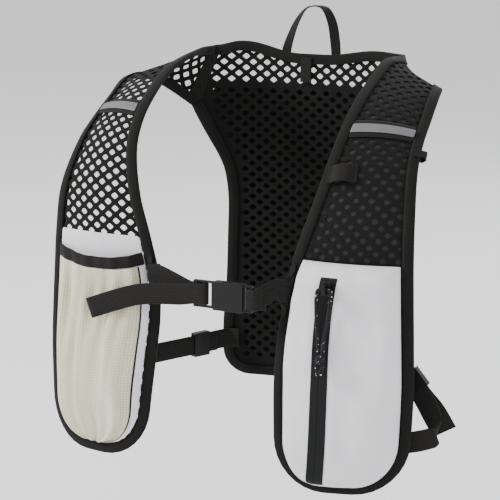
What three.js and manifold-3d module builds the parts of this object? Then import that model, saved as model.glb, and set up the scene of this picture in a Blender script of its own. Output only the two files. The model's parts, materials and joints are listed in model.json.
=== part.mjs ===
// A running hydration vest, as it hangs when worn: two front panels of big-hole net that run from a rounded hem over
// the shoulders, a back panel with a sleeve behind it, tape bindings round every edge, an open mesh pocket on the
// wearer's right, a zipped pocket on the left, a buckled chest strap, side straps and a hang loop.
// Millimetres, +Z up, the wearer faces -Y and the wearer's left is +X. The origin lies midway between the shoulders,
// level with the cloth that rests on them.
import * as THREE from "three";
import { mergeVertices } from "three/addons/utils/BufferGeometryUtils.js";
import Module from "manifold-3d";

const wasm = await Module();
wasm.setup();

// Driving sizes of the body of the vest
const HALF_WIDTH = 188; // centre line to the arm edges of the front panels
const FRONT_DROP = 370; // shoulder to front hem
const FRONT_REACH = 166; // shoulder to the foremost cloth
const SEAM_REACH = 55; // shoulder to the seam behind it
const BACK_REACH = 71; // shoulder to the middle of the back
const BACK_HALF = 96; // half the width of the back at the side straps
const BACK_DROP = 334; // shoulder to back hem
const BACK_ROUND = 9; // how far the back curves forward at its sides
const NECK_RISE = { right: 5, left: 1 }; // how far the neckline climbs beside each seam
const NECK_DIP = 6; // how far it drops at the middle of the back
const PANEL_BOW = 9; // how far a front panel bulges between its edges
const SIDE_SETTLE = 8; // how far the right side hangs off the left
const SIDE_LEAN = 4; // how far the right neck edge lies outside the left one
const CORNER_R = 48; // rounding of the front panels' lower corners
const BACK_CORNER_R = 26; // rounding of the back panel's lower corners

// Cloth thicknesses and the gap between layers
const NET_T = 2;
const LINING_T = 1;
const POCKET_T = 1.2;
const TAPE_T = 1.1;
const GAP = 0.35;

// Net
const NET_ACROSS = 31;
const NET_UP = 25.7;
const HOLE_ACROSS = 15;
const HOLE_UP = 13;

// Binding: a folded tape
const BINDING_W = 9;
const BINDING_T = 0.9;

// Webbing
const WEBBING_W = 20;
const WEBBING_T = 1.6;
const LOOP_W = 10;

// Pockets
const LINING_TOP = 213; // top of the right lining and of the zip pocket, above the hem
const MESH_TOP = 186; // top of the mesh pocket, above the hem
const MESH_BULGE = 13;
const ELASTIC_H = 12;
const ELASTIC_SAG = 6;
const ZIP_BULGE = 19;
const ZIP_SHOULDER = 17; // how far in from its seam the zip pocket takes to rise
const ZIP_SAG = 8; // how far its bottom hangs below its seam
const ZIP_TAPE_W = 16;
const SLEEVE_BULGE = 11;
const SLEEVE_TOP = 307; // top of the sleeve, above the back hem

// Front panel sections, hem to back seam. x is a share of HALF_WIDTH, y of FRONT_REACH in front of the shoulder and
// of SEAM_REACH behind it, z of FRONT_DROP below it, bow of PANEL_BOW, and settle of SIDE_SETTLE on the right side.
const FRONT_SECTIONS = [
  { neckX: 0.346, neckY: -1.0, neckZ: -1.0, armX: 0.98, armY: -0.84, armZ: -1.0, bow: 0.8, settle: 1.0 },
  { neckX: 0.343, neckY: -0.988, neckZ: -0.89, armX: 0.99, armY: -0.82, armZ: -0.89, bow: 1.0, settle: 1.0 },
  { neckX: 0.324, neckY: -0.94, neckZ: -0.735, armX: 1.0, armY: -0.807, armZ: -0.735, bow: 1.0, settle: 1.0 },
  { neckX: 0.322, neckY: -0.886, neckZ: -0.63, armX: 0.995, armY: -0.8, armZ: -0.63, bow: 1.0, settle: 0.7 },
  { neckX: 0.345, neckY: -0.842, neckZ: -0.523, armX: 0.987, armY: -0.79, armZ: -0.523, bow: 1.0, settle: 0.5 },
  { neckX: 0.393, neckY: -0.84, neckZ: -0.417, armX: 0.979, armY: -0.777, armZ: -0.417, bow: 1.0, settle: 0.4 },
  { neckX: 0.463, neckY: -0.813, neckZ: -0.31, armX: 0.968, armY: -0.735, armZ: -0.31, bow: 0.9, settle: 0.4 },
  { neckX: 0.516, neckY: -0.735, neckZ: -0.202, armX: 0.931, armY: -0.59, armZ: -0.202, bow: 0.8, settle: 0.6 },
  { neckX: 0.532, neckY: -0.62, neckZ: -0.133, armX: 0.91, armY: -0.446, armZ: -0.147, bow: 0.7, settle: 0.6 },
  { neckX: 0.54, neckY: -0.44, neckZ: -0.066, armX: 0.9, armY: -0.289, armZ: -0.096, bow: 0.6, settle: 0.2 },
  { neckX: 0.545, neckY: -0.2, neckZ: -0.01, armX: 0.888, armY: -0.133, armZ: -0.05, bow: 0.3, settle: 0 },
  { neckX: 0.548, neckY: 0.055, neckZ: 0.029, armX: 0.867, armY: -0.018, armZ: -0.038, bow: 0.1, settle: -0.5 },
  { neckX: 0.555, neckY: 0.38, neckZ: 0.03, armX: 0.82, armY: 0.22, armZ: -0.05, bow: 0.1, settle: -0.3 },
  { neckX: 0.558, neckY: 0.7, neckZ: 0.028, armX: 0.755, armY: 0.5, armZ: -0.084, bow: 0.2, settle: -0.1 },
  { neckX: 0.545, neckY: 1.0, neckZ: 0.027, armX: 0.655, armY: 0.79, armZ: -0.134, bow: 0, settle: 0 },
];

// The back panel's half width, seam to hem. drop is a share of the height from the arm end of the seam to the hem;
// waist is the share of BACK_HALF and shoulder the share of the seam's own place that make up the half width, and
// round is the share of BACK_ROUND by which the back curves there.
const BACK_SECTIONS = [
  { drop: 0, waist: 0, shoulder: 1, round: 1.35 },
  { drop: 0.041, waist: 0.248, shoulder: 0.75, round: 1.4 },
  { drop: 0.121, waist: 0.634, shoulder: 0.35, round: 1.45 },
  { drop: 0.178, waist: 0.812, shoulder: 0.15, round: 1.45 },
  { drop: 0.243, waist: 0.885, shoulder: 0.05, round: 1.35 },
  { drop: 0.34, waist: 0.925, shoulder: 0, round: 1.15 },
  { drop: 0.458, waist: 0.937, shoulder: 0, round: 1 },
  { drop: 0.642, waist: 0.953, shoulder: 0, round: 1 },
  { drop: 0.76, waist: 0.979, shoulder: 0, round: 1 },
  { drop: 0.833, waist: 0.99, shoulder: 0, round: 1 },
  { drop: 1, waist: 0.985, shoulder: 0, round: 1 },
];
const WING_LOW = 200; // height above the hem from which the back widens to the seams
const NECK_ROUND = 0.8; // share of BACK_ROUND by which it curves at the neckline

// Value of a column of the back's table at a share of its drop, smoothly
function columnAt(rows, share, column) {
  let k = 0;
  while (k < rows.length - 2 && rows[k + 1].drop < share) k += 1;
  const slope = (i) => {
    const low = rows[Math.max(i - 1, 0)];
    const high = rows[Math.min(i + 1, rows.length - 1)];
    return (high[column] - low[column]) / (high.drop - low.drop);
  };
  const span = rows[k + 1].drop - rows[k].drop;
  const t = THREE.MathUtils.clamp((share - rows[k].drop) / span, 0, 1);
  const t2 = t * t;
  const t3 = t2 * t;
  return (
    (2 * t3 - 3 * t2 + 1) * rows[k][column] +
    (t3 - 2 * t2 + t) * span * slope(k) +
    (3 * t2 - 2 * t3) * rows[k + 1][column] +
    (t3 - t2) * span * slope(k + 1)
  );
}

const { clamp, lerp, smoothstep } = THREE.MathUtils;
const v3 = (x, y, z) => new THREE.Vector3(x, y, z);

// Half width of an outline at b, drawn in by inset, whose lower corners are rounded
function rounded(full, radius, b, inset) {
  const below = radius - Math.max(b, inset);
  const corner = radius - inset;
  return below > 0 ? full - radius + Math.sqrt(Math.max(corner * corner - below * below, 0)) : full - inset;
}

// A front panel's cloth as a surface: a runs across it from its middle towards the arm edge, b along it from the hem,
// and h off it, outwards. side is 1 for the wearer's left and -1 for the right.
class FrontCloth {
  constructor(side) {
    this.side = side;
    this.corner = CORNER_R;
    const place = (row, edge) => {
      const reach = row[edge + "Y"] < 0 ? FRONT_REACH : SEAM_REACH;
      const settle = side < 0 ? row.settle * SIDE_SETTLE : 0;
      const lean = side < 0 && edge === "neck" && row.neckY < 0 ? SIDE_LEAN : 0;
      return v3(
        side * (row[edge + "X"] * HALF_WIDTH + lean),
        row[edge + "Y"] * reach,
        row[edge + "Z"] * FRONT_DROP + settle,
      );
    };
    this.neck = new THREE.CatmullRomCurve3(FRONT_SECTIONS.map((row) => place(row, "neck")));
    this.arm = new THREE.CatmullRomCurve3(FRONT_SECTIONS.map((row) => place(row, "arm")));
    this.bow = new THREE.CatmullRomCurve3(FRONT_SECTIONS.map((row, k) => v3(k, row.bow * PANEL_BOW, 0)));
    this.lengths = [0];
    const steps = 400;
    for (let k = 1; k <= steps; k += 1) {
      const step = this.middle((k - 1) / steps).distanceTo(this.middle(k / steps));
      this.lengths.push(this.lengths[k - 1] + step);
    }
    this.length = this.lengths[steps];
  }

  middle(u) {
    return this.neck.getPoint(u).add(this.arm.getPoint(u)).multiplyScalar(0.5);
  }

  // Share of the way along the sections at a length b above the hem
  share(b) {
    const last = this.lengths.length - 1;
    let k = 0;
    while (k < last - 1 && this.lengths[k + 1] < b) k += 1;
    return clamp((k + (b - this.lengths[k]) / (this.lengths[k + 1] - this.lengths[k])) / last, 0, 1);
  }

  half(b, inset = 0) {
    const u = this.share(b);
    return rounded(this.neck.getPoint(u).distanceTo(this.arm.getPoint(u)) / 2, CORNER_R, b, inset);
  }

  flat(a, b) {
    const u = this.share(b);
    const neck = this.neck.getPoint(u);
    const across = this.arm.getPoint(u).sub(neck);
    const t = 0.5 + a / across.length();
    const along = this.middle(Math.min(u + 0.01, 1)).sub(this.middle(Math.max(u - 0.01, 0)));
    const outwards = along.clone().cross(across).normalize().multiplyScalar(-this.side);
    const rise = this.bow.getPoint(u).y * 4 * t * (1 - t);
    const below = Math.min(b, 0) / along.length();
    return neck.addScaledVector(across, t).addScaledVector(outwards, rise).addScaledVector(along, below);
  }

  normal(a, b) {
    const reach = 2;
    const along = this.flat(a, Math.min(b + reach, this.length)).sub(this.flat(a, Math.max(b - reach, 0)));
    const across = this.flat(a + reach, b).sub(this.flat(a - reach, b));
    return along.cross(across).normalize().multiplyScalar(-this.side);
  }

  at(a, b, h = 0) {
    const near = smoothstep(b, this.length - SEAM_EASE, this.length);
    const outwards = this.normal(a, b);
    if (near > 0) {
      const share = 0.5 + a / (2 * this.half(this.length));
      outwards.lerp(seamNormal(share, this.side), near).normalize();
    }
    return this.flat(a, b).addScaledVector(outwards, h);
  }
}

// The back's cloth, from hem to neckline: a runs along X from the middle, b is the height above the hem, and h is off
// it, outwards. Its upper sides are the seams where the front panels end.
class BackCloth {
  constructor(front) {
    this.corner = BACK_CORNER_R;
    this.seamNeck = front.neck.getPoint(1);
    this.seamArm = front.arm.getPoint(1);
    this.length = BACK_DROP + this.seamNeck.z;
    this.seamLow = BACK_DROP + this.seamArm.z;
  }

  depth(x, b) {
    const share = x / BACK_HALF;
    const rise = clamp((b - this.seamLow) / (this.length - this.seamLow), 0, 1);
    const low = columnAt(BACK_SECTIONS, clamp(1 - b / this.seamLow, 0, 1), "round");
    return BACK_REACH - BACK_ROUND * lerp(low, NECK_ROUND, rise) * (share ** 2 + share ** 4 / 3);
  }

  half(b, inset = 0) {
    if (b >= this.seamLow) {
      return lerp(this.seamArm.x, this.seamNeck.x, (b - this.seamLow) / (this.length - this.seamLow)) - inset;
    }
    const drop = 1 - b / this.seamLow;
    const waist = columnAt(BACK_SECTIONS, drop, "waist") * BACK_HALF;
    const shoulder = columnAt(BACK_SECTIONS, drop, "shoulder") * this.seamArm.x;
    if (inset === 0 || b < WING_LOW) return rounded(waist + shoulder, BACK_CORNER_R, b, inset);
    const slope = (this.half(Math.min(b + 3, this.seamLow)) - this.half(b - 3)) / 6;
    return waist + shoulder - inset * Math.hypot(1, slope);
  }

  // Height of the neckline above the hem at x
  top(x) {
    const place = Math.abs(x) / this.seamNeck.x;
    const climb = NECK_RISE[x < 0 ? "right" : "left"] * smoothstep(place, 0.2, 0.75) * (1 - smoothstep(place, 0.75, 1));
    return this.length + climb - NECK_DIP * (1 - smoothstep(place, 0.12, 0.7));
  }

  flat(x, b) {
    const seam = lerp(this.seamArm.y, this.seamNeck.y, clamp((b - this.seamLow) / (this.length - this.seamLow), 0, 1));
    const edge = this.half(Math.max(b, BACK_CORNER_R));
    const missing = (seam - this.depth(edge, b)) * smoothstep(b, this.seamLow - 70, this.seamLow);
    const y = this.depth(x, b) + missing * smoothstep(Math.abs(x), 0.55 * edge, edge);
    return v3(x, y, b - BACK_DROP);
  }

  normal(x, b) {
    const along = this.flat(x, b + 1).sub(this.flat(x, b - 1));
    const across = this.flat(x + 1, b).sub(this.flat(x - 1, b));
    return along.cross(across).normalize();
  }

  at(x, b, h = 0) {
    const outwards = this.normal(x, b);
    const near =
      smoothstep(Math.abs(x), this.half(b) - SEAM_EASE, this.half(b)) * smoothstep(b, this.seamLow - 25, this.seamLow);
    if (near > 0) {
      const share = clamp((this.length - b) / (this.length - this.seamLow), 0, 1);
      outwards.lerp(seamNormal(share, Math.sign(x)), near).normalize();
    }
    return this.flat(x, b).addScaledVector(outwards, h);
  }
}

// Both cloths stand off their shared seam in the one direction, midway between their own
const SEAM_EASE = 24;
const cloth = { right: new FrontCloth(-1), left: new FrontCloth(1) };
cloth.back = new BackCloth(cloth.left);

function seamNormal(share, side) {
  const front = cloth.left;
  const place = clamp(share, 0, 1);
  const b = lerp(cloth.back.length, cloth.back.seamLow, place);
  const along = front.normal((place - 0.5) * 2 * front.half(front.length), front.length);
  const made = along.add(cloth.back.normal(cloth.back.half(b), b)).normalize();
  return v3(side * made.x, made.y, made.z);
}

// A solid from an array of points and triangles, turned to face outwards
function solid(points, triangles) {
  const geometry = new THREE.BufferGeometry();
  geometry.setAttribute("position", new THREE.Float32BufferAttribute(points.flatMap((p) => p.toArray()), 3));
  const centre = points[0];
  let volume = 0;
  for (const [i, j, k] of triangles) {
    const [p, q, r] = [points[i], points[j], points[k]].map((point) => point.clone().sub(centre));
    volume += p.dot(q.cross(r));
  }
  geometry.setIndex((volume < 0 ? triangles.map(([i, j, k]) => [i, k, j]) : triangles).flat());
  return geometry;
}

// A wall between two grids of points: inner(i, j) and outer(i, j), with i to rows and j to columns
function wall(rows, columns, inner, outer) {
  const points = [];
  for (const face of [inner, outer])
    for (let i = 0; i <= rows; i += 1) for (let j = 0; j <= columns; j += 1) points.push(face(i, j));
  const layerSize = (rows + 1) * (columns + 1);
  const id = (i, j, face) => face * layerSize + i * (columns + 1) + j;
  const triangles = [];
  const quad = (p, q, r, s) => triangles.push([p, q, r], [p, r, s]);
  for (let i = 0; i < rows; i += 1)
    for (let j = 0; j < columns; j += 1) {
      quad(id(i, j, 0), id(i, j + 1, 0), id(i + 1, j + 1, 0), id(i + 1, j, 0));
      triangles.push([id(i, j, 1), id(i + 1, j + 1, 1), id(i, j + 1, 1)], [id(i, j, 1), id(i + 1, j, 1), id(i + 1, j + 1, 1)]);
    }
  for (let j = 0; j < columns; j += 1) {
    quad(id(0, j, 0), id(0, j, 1), id(0, j + 1, 1), id(0, j + 1, 0));
    quad(id(rows, j, 0), id(rows, j + 1, 0), id(rows, j + 1, 1), id(rows, j, 1));
  }
  for (let i = 0; i < rows; i += 1) {
    quad(id(i, 0, 0), id(i + 1, 0, 0), id(i + 1, 0, 1), id(i, 0, 1));
    quad(id(i, columns, 0), id(i, columns, 1), id(i + 1, columns, 1), id(i + 1, columns, 0));
  }
  return solid(points, triangles);
}

// A profile carried along count + 1 stations: place(k, u, v) is where the profile's point (u, v) goes at station k.
// Where turned(k, i) says so, side i is split along its other diagonal, so that a twisted wall's two faces bend alike.
function sweep(profile, count, place, turned = () => false) {
  const size = profile.length;
  const points = [];
  for (let k = 0; k <= count; k += 1) for (const [u, v] of profile) points.push(place(k, u, v));
  const triangles = [];
  for (let k = 0; k < count; k += 1)
    for (let i = 0; i < size; i += 1) {
      const next = (i + 1) % size;
      const here = k * size;
      if (turned(k, i)) {
        triangles.push([here + i, here + next, here + size + i], [here + next, here + size + next, here + size + i]);
      } else {
        triangles.push([here + i, here + next, here + size + next], [here + i, here + size + next, here + size + i]);
      }
    }
  const outline = profile.map(([u, v]) => new THREE.Vector2(u, v));
  const last = count * size;
  const caps = THREE.ShapeUtils.triangulateShape(outline, []);
  const clockwise = THREE.ShapeUtils.isClockWise(outline);
  for (const [i, j, k] of caps) {
    const [p, q] = clockwise ? [j, k] : [k, j];
    triangles.push([i, p, q], [last + i, last + q, last + p]);
  }
  return solid(points, triangles);
}

// A flat strip of webbing: each row names a point of its centre line and the direction across it there
function strip(rows, width, thickness, steps) {
  const line = new THREE.CatmullRomCurve3(rows.map((row) => row.at));
  const turn = new THREE.CatmullRomCurve3(rows.map((row) => row.across.clone().normalize()));
  const half = width / 2;
  const thin = thickness / 2;
  const profile = [[-half, -thin], [half, -thin], [half, thin], [-half, thin]];
  return sweep(profile, steps, (k, u, v) => {
    const share = k / steps;
    const along = line.getTangent(share);
    const across = turn.getPoint(share);
    across.addScaledVector(along, -across.dot(along)).normalize();
    const off = along.clone().cross(across);
    return line.getPoint(share).addScaledVector(across, u).addScaledVector(off, v);
  }, (k, i) => i === 2);
}

// A round cord along a line of points
function tube(points, radius, sides, steps) {
  const line = new THREE.CatmullRomCurve3(points);
  const frames = line.computeFrenetFrames(steps);
  const round = Array.from({ length: sides }, (_, k) => {
    const angle = (2 * Math.PI * k) / sides;
    return [radius * Math.cos(angle), radius * Math.sin(angle)];
  });
  return sweep(round, steps, (k, u, v) =>
    line.getPointAt(k / steps).addScaledVector(frames.normals[k], u).addScaledVector(frames.binormals[k], v),
  );
}

function toManifold(geometry) {
  const bare = geometry.clone();
  bare.deleteAttribute("normal");
  bare.deleteAttribute("uv");
  const merged = mergeVertices(bare, 1e-4);
  const mesh = new wasm.Mesh({
    numProp: 3,
    vertProperties: merged.attributes.position.array,
    triVerts: new Uint32Array(merged.index.array),
  });
  return new wasm.Manifold(mesh);
}

function fromManifold(made) {
  const mesh = made.getMesh();
  const geometry = new THREE.BufferGeometry();
  geometry.setAttribute("position", new THREE.BufferAttribute(mesh.vertProperties, 3));
  geometry.setIndex(new THREE.BufferAttribute(mesh.triVerts, 1));
  return geometry;
}

const cut = (body, ...tools) =>
  fromManifold(tools.reduce((rest, tool) => rest.subtract(toManifold(tool)), toManifold(body)));
const fuse = (body, ...others) =>
  fromManifold(others.reduce((sum, other) => sum.add(toManifold(other)), toManifold(body)));

const boxAt = (sizes, centre) => new THREE.BoxGeometry(...sizes).translate(...centre);

// Materials
const finish = (color, roughness, metalness = 0) => new THREE.MeshStandardMaterial({ color, roughness, metalness });
const NET = finish(0x1b1a19, 0.85);
const BINDING = finish(0x242322, 0.8);
const WHITE_CLOTH = finish(0xdedde4, 0.7);
const CREAM_MESH = finish(0xdcd9c8, 0.75);
const SLEEVE_CLOTH = finish(0x1f1e1e, 0.8);
const WEBBING = finish(0x232220, 0.75);
const SILVER = finish(0xa4a8aa, 0.35, 0.2);
const PLASTIC = finish(0x1d1c1b, 0.45);
const ZIP_TAPE = finish(0x222322, 0.6);
const CORD = finish(0x1c1c1e, 0.8);

const vest = new THREE.Group();

function add(name, geometry, material) {
  const mesh = new THREE.Mesh(geometry, material);
  mesh.name = name;
  vest.add(mesh);
}

// Heights of a cloth's rows: close together round its lower corners, then even
const CORNER_ROWS = 4;

function levels(corner, inset, top, count) {
  const rows = [];
  for (let k = 0; k < CORNER_ROWS; k += 1) {
    rows.push(corner - (corner - inset) * Math.cos((k / CORNER_ROWS) * (Math.PI / 2)));
  }
  for (let k = 0; k <= count; k += 1) rows.push(lerp(corner, top, k / count));
  return rows;
}

// Places across a cloth: its two edges, the lines where its bindings end, and even steps between them
const EDGE_IN = BINDING_W + GAP;

function places(half, count) {
  const row = [-half];
  for (let j = 0; j <= count - 2; j += 1) row.push((half - EDGE_IN) * ((2 * j) / (count - 2) - 1));
  row.push(half);
  return row;
}

// A layer of cloth on a surface: rows of heights, the places across each, and how far its two faces stand off
function layer(surface, rows, across, low, high) {
  const grid = rows.map(across);
  const face = (lift) => (i, j) => surface.at(grid[i][j], rows[i], lift);
  return wall(rows.length - 1, grid[0].length - 1, face(low), face(high));
}

// One prism for each hole of the net in a region of the cloth
const HOLE_PROFILE = [[-HOLE_ACROSS / 2, 0], [0, -HOLE_UP / 2], [HOLE_ACROSS / 2, 0], [0, HOLE_UP / 2]];

function netHoles(surface, low, inside) {
  const holes = [];
  const reach = 2 * NET_T;
  const rows = Math.floor((2 * (surface.length - low)) / NET_UP);
  for (let row = 0; row <= rows; row += 1)
    for (let column = -6; column <= 6; column += 1) {
      const a = (column + (row % 2) / 2) * NET_ACROSS;
      const b = low + (row * NET_UP) / 2;
      if (inside(a, b)) holes.push(sweep(HOLE_PROFILE, 1, (k, u, v) => surface.at(a + u, b + v, k ? reach : -reach)));
    }
  return holes;
}

// Folded tape round an edge of the cloth: u runs inwards from the edge, v off the cloth
const SLOT = NET_T / 2 + GAP;
const BINDING_OUT = SLOT + BINDING_T;
const BINDING_PROFILE = [
  [BINDING_W, -SLOT],
  [-GAP, -SLOT],
  [-GAP, SLOT],
  [BINDING_W, SLOT],
  [BINDING_W, BINDING_OUT],
  [-BINDING_T - GAP, BINDING_OUT],
  [-BINDING_T - GAP, -BINDING_OUT],
  [BINDING_W, -BINDING_OUT],
];

// The tape follows an outline of [a, b] points; inwards is to the left of its direction. Above the lower corners it
// is taken along the cloth's own rows or columns, so that both bend alike, and lengthened to keep the tape's width.
function binding(surface, outline, turned) {
  const inwards = outline.map((point, k) => {
    const before = outline[Math.max(k - 1, 0)];
    const after = outline[Math.min(k + 1, outline.length - 1)];
    const square = new THREE.Vector2(before[1] - after[1], after[0] - before[0]).normalize();
    if (point[1] <= surface.corner) return square;
    const side = Math.abs(square.x) > Math.abs(square.y);
    return side ? new THREE.Vector2(1 / square.x, 0) : new THREE.Vector2(0, 1 / square.y);
  });
  const place = (k, u, v) => surface.at(outline[k][0] + inwards[k].x * u, outline[k][1] + inwards[k].y * u, v);
  return sweep(BINDING_PROFILE, outline.length - 1, place, turned);
}

// Outline of a cloth down one side, along the hem and up the other
function rim(rows, across) {
  const down = rows.map((b) => [across(b)[0], b]).reverse();
  const hem = across(rows[0]).slice(1, -1).map((a) => [a, rows[0]]);
  const up = rows.map((b) => [across(b).at(-1), b]);
  return [...down, ...hem, ...up];
}

// Front panels with their bindings
function panelLevels(surface) {
  const top = surface.length - SEAM_GAP;
  const upper = Array.from({ length: UPPER_ROWS }, (_, k) => lerp(LINING_TOP, top, (k + 1) / UPPER_ROWS));
  return [...levels(CORNER_R, 0, LINING_TOP, LOWER_ROWS), ...upper];
}

const SEAM_GAP = GAP / 2;
const PANEL_COLUMNS = 6;
const LOWER_ROWS = 5; // rows of the panel between its corners and the top of the lining
const UPPER_ROWS = 9; // rows from there to the seam
const STRAP_TAPE_W = 20;
const STRAP_TAPE_AT = { right: 339, left: 341 };
const REFLECTOR_W = 10;
const JOIN = 2.4; // gap between the tape round the hem and the tape up the arm edge

for (const side of ["right", "left"]) {
  const surface = cloth[side];
  const rows = panelLevels(surface);
  const across = (b) => places(surface.half(b), PANEL_COLUMNS);
  const holes = netHoles(surface, LINING_TOP + HOLE_UP, (a, b) => {
    const clear = surface.half(b) - EDGE_IN - Math.abs(a) > 0.6 * HOLE_ACROSS;
    const free = Math.abs(b - STRAP_TAPE_AT[side]) > STRAP_TAPE_W / 2;
    return clear && free && b < surface.length - 50;
  });
  const body = layer(surface, rows, across, -NET_T / 2, NET_T / 2);
  add(side + "_front_panel", cut(body, ...holes), NET);
  const outline = rim(rows, across);
  const above = rows.length - 1 - CORNER_ROWS; // lengths of tape above each lower corner
  const turned = (k, i) => {
    if (k < above) return [1, 2, 5].includes(i);
    return k >= outline.length - 1 - above && [2, 4, 5].includes(i);
  };
  const split = outline.length - 1 - above;
  const start = outline[split][1] + JOIN;
  const armOutline = [[across(start).at(-1), start], ...outline.slice(split + 1)];
  add(side + "_front_binding", binding(surface, outline.slice(0, split + 1), turned), BINDING);
  add(side + "_arm_binding", binding(surface, armOutline, (k, i) => [2, 4, 5].includes(i)), BINDING);
}

// Back panel with its bindings: rows are level at the hem and follow the neckline at the top
const BACK_COLUMNS = 10;
const BACK_ROWS = 5;
const WING_ROWS = 6;

class BackRows {
  constructor(surface) {
    this.surface = surface;
    this.follow = SLEEVE_TOP;
  }

  // The place on the cloth of a row's height b at x
  lift(x, b) {
    const { surface } = this;
    const share = clamp((b - this.follow) / (surface.length - this.follow), 0, 1);
    return b + share * (surface.top(x) - surface.length);
  }

  half(b, inset) {
    return this.surface.half(b, inset);
  }

  at(x, b, h) {
    return this.surface.at(x, this.lift(x, b), h);
  }
}

const backRows = new BackRows(cloth.back);
const backHalf = (b) => cloth.back.half(b) - (b > cloth.back.seamLow ? SEAM_GAP * 1.3 : 0);
const wingRows = Array.from({ length: WING_ROWS }, (_, k) => lerp(WING_LOW, cloth.back.seamLow, (k + 1) / WING_ROWS));
const backLevels = [
  ...levels(BACK_CORNER_R, 0, WING_LOW, BACK_ROWS),
  ...wingRows,
  SLEEVE_TOP,
  cloth.back.length - EDGE_IN,
  cloth.back.length,
];

// Places across the back: as on the front, with a closer line beside each binding
function acrossBack(half) {
  const next = half - 2 * EDGE_IN;
  const inner = Array.from({ length: BACK_COLUMNS - 3 }, (_, j) => next * ((2 * j) / (BACK_COLUMNS - 4) - 1));
  return [-half, EDGE_IN - half, ...inner, half - EDGE_IN, half];
}

const backAcross = (b) => acrossBack(backHalf(b));
const yokeHoles = netHoles(cloth.back, SLEEVE_TOP + HOLE_UP, (x, b) => {
  const clear = cloth.back.half(b) - EDGE_IN - Math.abs(x) > 0.6 * HOLE_ACROSS;
  return clear && b < cloth.back.top(x) - EDGE_IN - HOLE_UP / 2;
});
add("back_panel", cut(layer(backRows, backLevels, backAcross, -NET_T / 2, NET_T / 2), ...yokeHoles), NET);
const armRows = backLevels.filter((b) => b < cloth.back.seamLow).concat(cloth.back.seamLow - 1.5);
add("back_edge_binding", binding(cloth.back, rim(armRows, backAcross)), BINDING);
const neckHalf = backHalf(cloth.back.length) - 0.7;
const neckline = acrossBack(neckHalf).reverse().map((x) => [x, cloth.back.top(x)]);
add("back_neck_binding", binding(cloth.back, neckline), BINDING);

// Right side: a lining behind the net, and an open pocket of mesh that bulges from it, with an elastic hem
const STACK = NET_T / 2 + GAP;
const LINING_OUT = STACK + LINING_T;
const evenly = (surface, inset, count) => (b) =>
  Array.from({ length: count + 1 }, (_, j) => surface.half(b, inset) * ((2 * j) / count - 1));
add(
  "right_lining",
  layer(
    cloth.right,
    levels(CORNER_R, EDGE_IN, LINING_TOP, LOWER_ROWS),
    evenly(cloth.right, EDGE_IN, PANEL_COLUMNS - 2),
    STACK,
    LINING_OUT,
  ),
  WHITE_CLOTH,
);

const MESH_PLACES = [-1, -0.93, -0.82, -0.55, -0.2, 0.15, 0.5, 0.8, 1];
const meshSag = (s, b) => ELASTIC_SAG * (1 - s * s) * smoothstep(b, MESH_TOP - 90, MESH_TOP);

function meshRise(s, b) {
  const t = (s + 1) / 2;
  const across = smoothstep(t, 0, 0.12) * (1 - t ** 3);
  const along = smoothstep(b, EDGE_IN - 8, 80) * (1 - 0.3 * smoothstep(b, 110, MESH_TOP));
  return MESH_BULGE * across * along;
}

// A place on the mesh pocket: s is the share of its half width, b the height before it sags, h off its inner face
function meshPoint(s, b, inset, h) {
  const half = cloth.right.half(b, inset);
  return cloth.right.at(s * half, b - meshSag(s, b), LINING_OUT + 2 * GAP + meshRise(s, b) + h);
}

function meshFace(inset, top, h) {
  const rows = levels(CORNER_R, inset, top, 8);
  return (i, j) => meshPoint(MESH_PLACES[j], rows[i], inset, h);
}

add(
  "right_mesh_pocket",
  wall(CORNER_ROWS + 8, MESH_PLACES.length - 1, meshFace(EDGE_IN + POCKET_T, MESH_TOP, 0), meshFace(EDGE_IN, MESH_TOP, POCKET_T)),
  CREAM_MESH,
);
const elasticFace = (h) => (i, j) => meshPoint(MESH_PLACES[j], MESH_TOP + GAP + i * ELASTIC_H, EDGE_IN, h);
add("right_pocket_elastic", wall(1, MESH_PLACES.length - 1, elasticFace(0), elasticFace(1.6 * POCKET_T)), WEBBING);

// Left side: a pocket that stands off the net with rounded shoulders, closed by a zip down its front
const ZIP_INSET = EDGE_IN + 1.5;
const ZIP_PLACE = -19; // middle of the zip at the hem, from the middle of the panel
const ZIP_SLANT = 8; // how far it has moved towards the arm at its top
const ZIP_BASE = STACK + GAP;
const zipAt = (b) => ZIP_PLACE + (ZIP_SLANT * b) / LINING_TOP;
const DOME = [0, 0.12, 0.45, 1];
const dome = (share) => Math.sqrt(1 - (1 - clamp(share, 0, 1)) ** 2);
const zipEdge = (half) => Math.min(ZIP_SHOULDER, 0.5 * half);

function zipPlaces(half, b) {
  const edge = zipEdge(half);
  const flat = half - edge;
  const low = Math.max(zipAt(b) - ZIP_TAPE_W / 2, 1 - flat);
  const high = Math.max(Math.min(zipAt(b) + ZIP_TAPE_W / 2, flat - 2), low + 1);
  const rising = DOME.map((share) => edge * share - half);
  return [...rising, low, high, (high + flat) / 2, ...rising.map((a) => -a).reverse()];
}

function zipRows(inset) {
  const top = LINING_TOP + ZIP_INSET - inset;
  const falling = DOME.map((share) => top - ZIP_SHOULDER * share).reverse();
  return [...levels(CORNER_R, inset, falling[0], 5), ...falling.slice(1)];
}

function zipFace(inset, bulge, h) {
  const rows = zipRows(inset);
  return (i, j) => {
    const b = rows[i];
    const half = cloth.left.half(b, inset);
    const a = zipPlaces(half, b)[j];
    const across = dome((half - Math.abs(a)) / zipEdge(half));
    const along = dome((b - inset) / ZIP_SHOULDER) * dome((rows.at(-1) - b) / ZIP_SHOULDER);
    const sag = ZIP_SAG * across * along * (1 - smoothstep(b, 0, 100));
    return cloth.left.at(a, b - sag, ZIP_BASE + bulge * across * along + h);
  };
}

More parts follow.
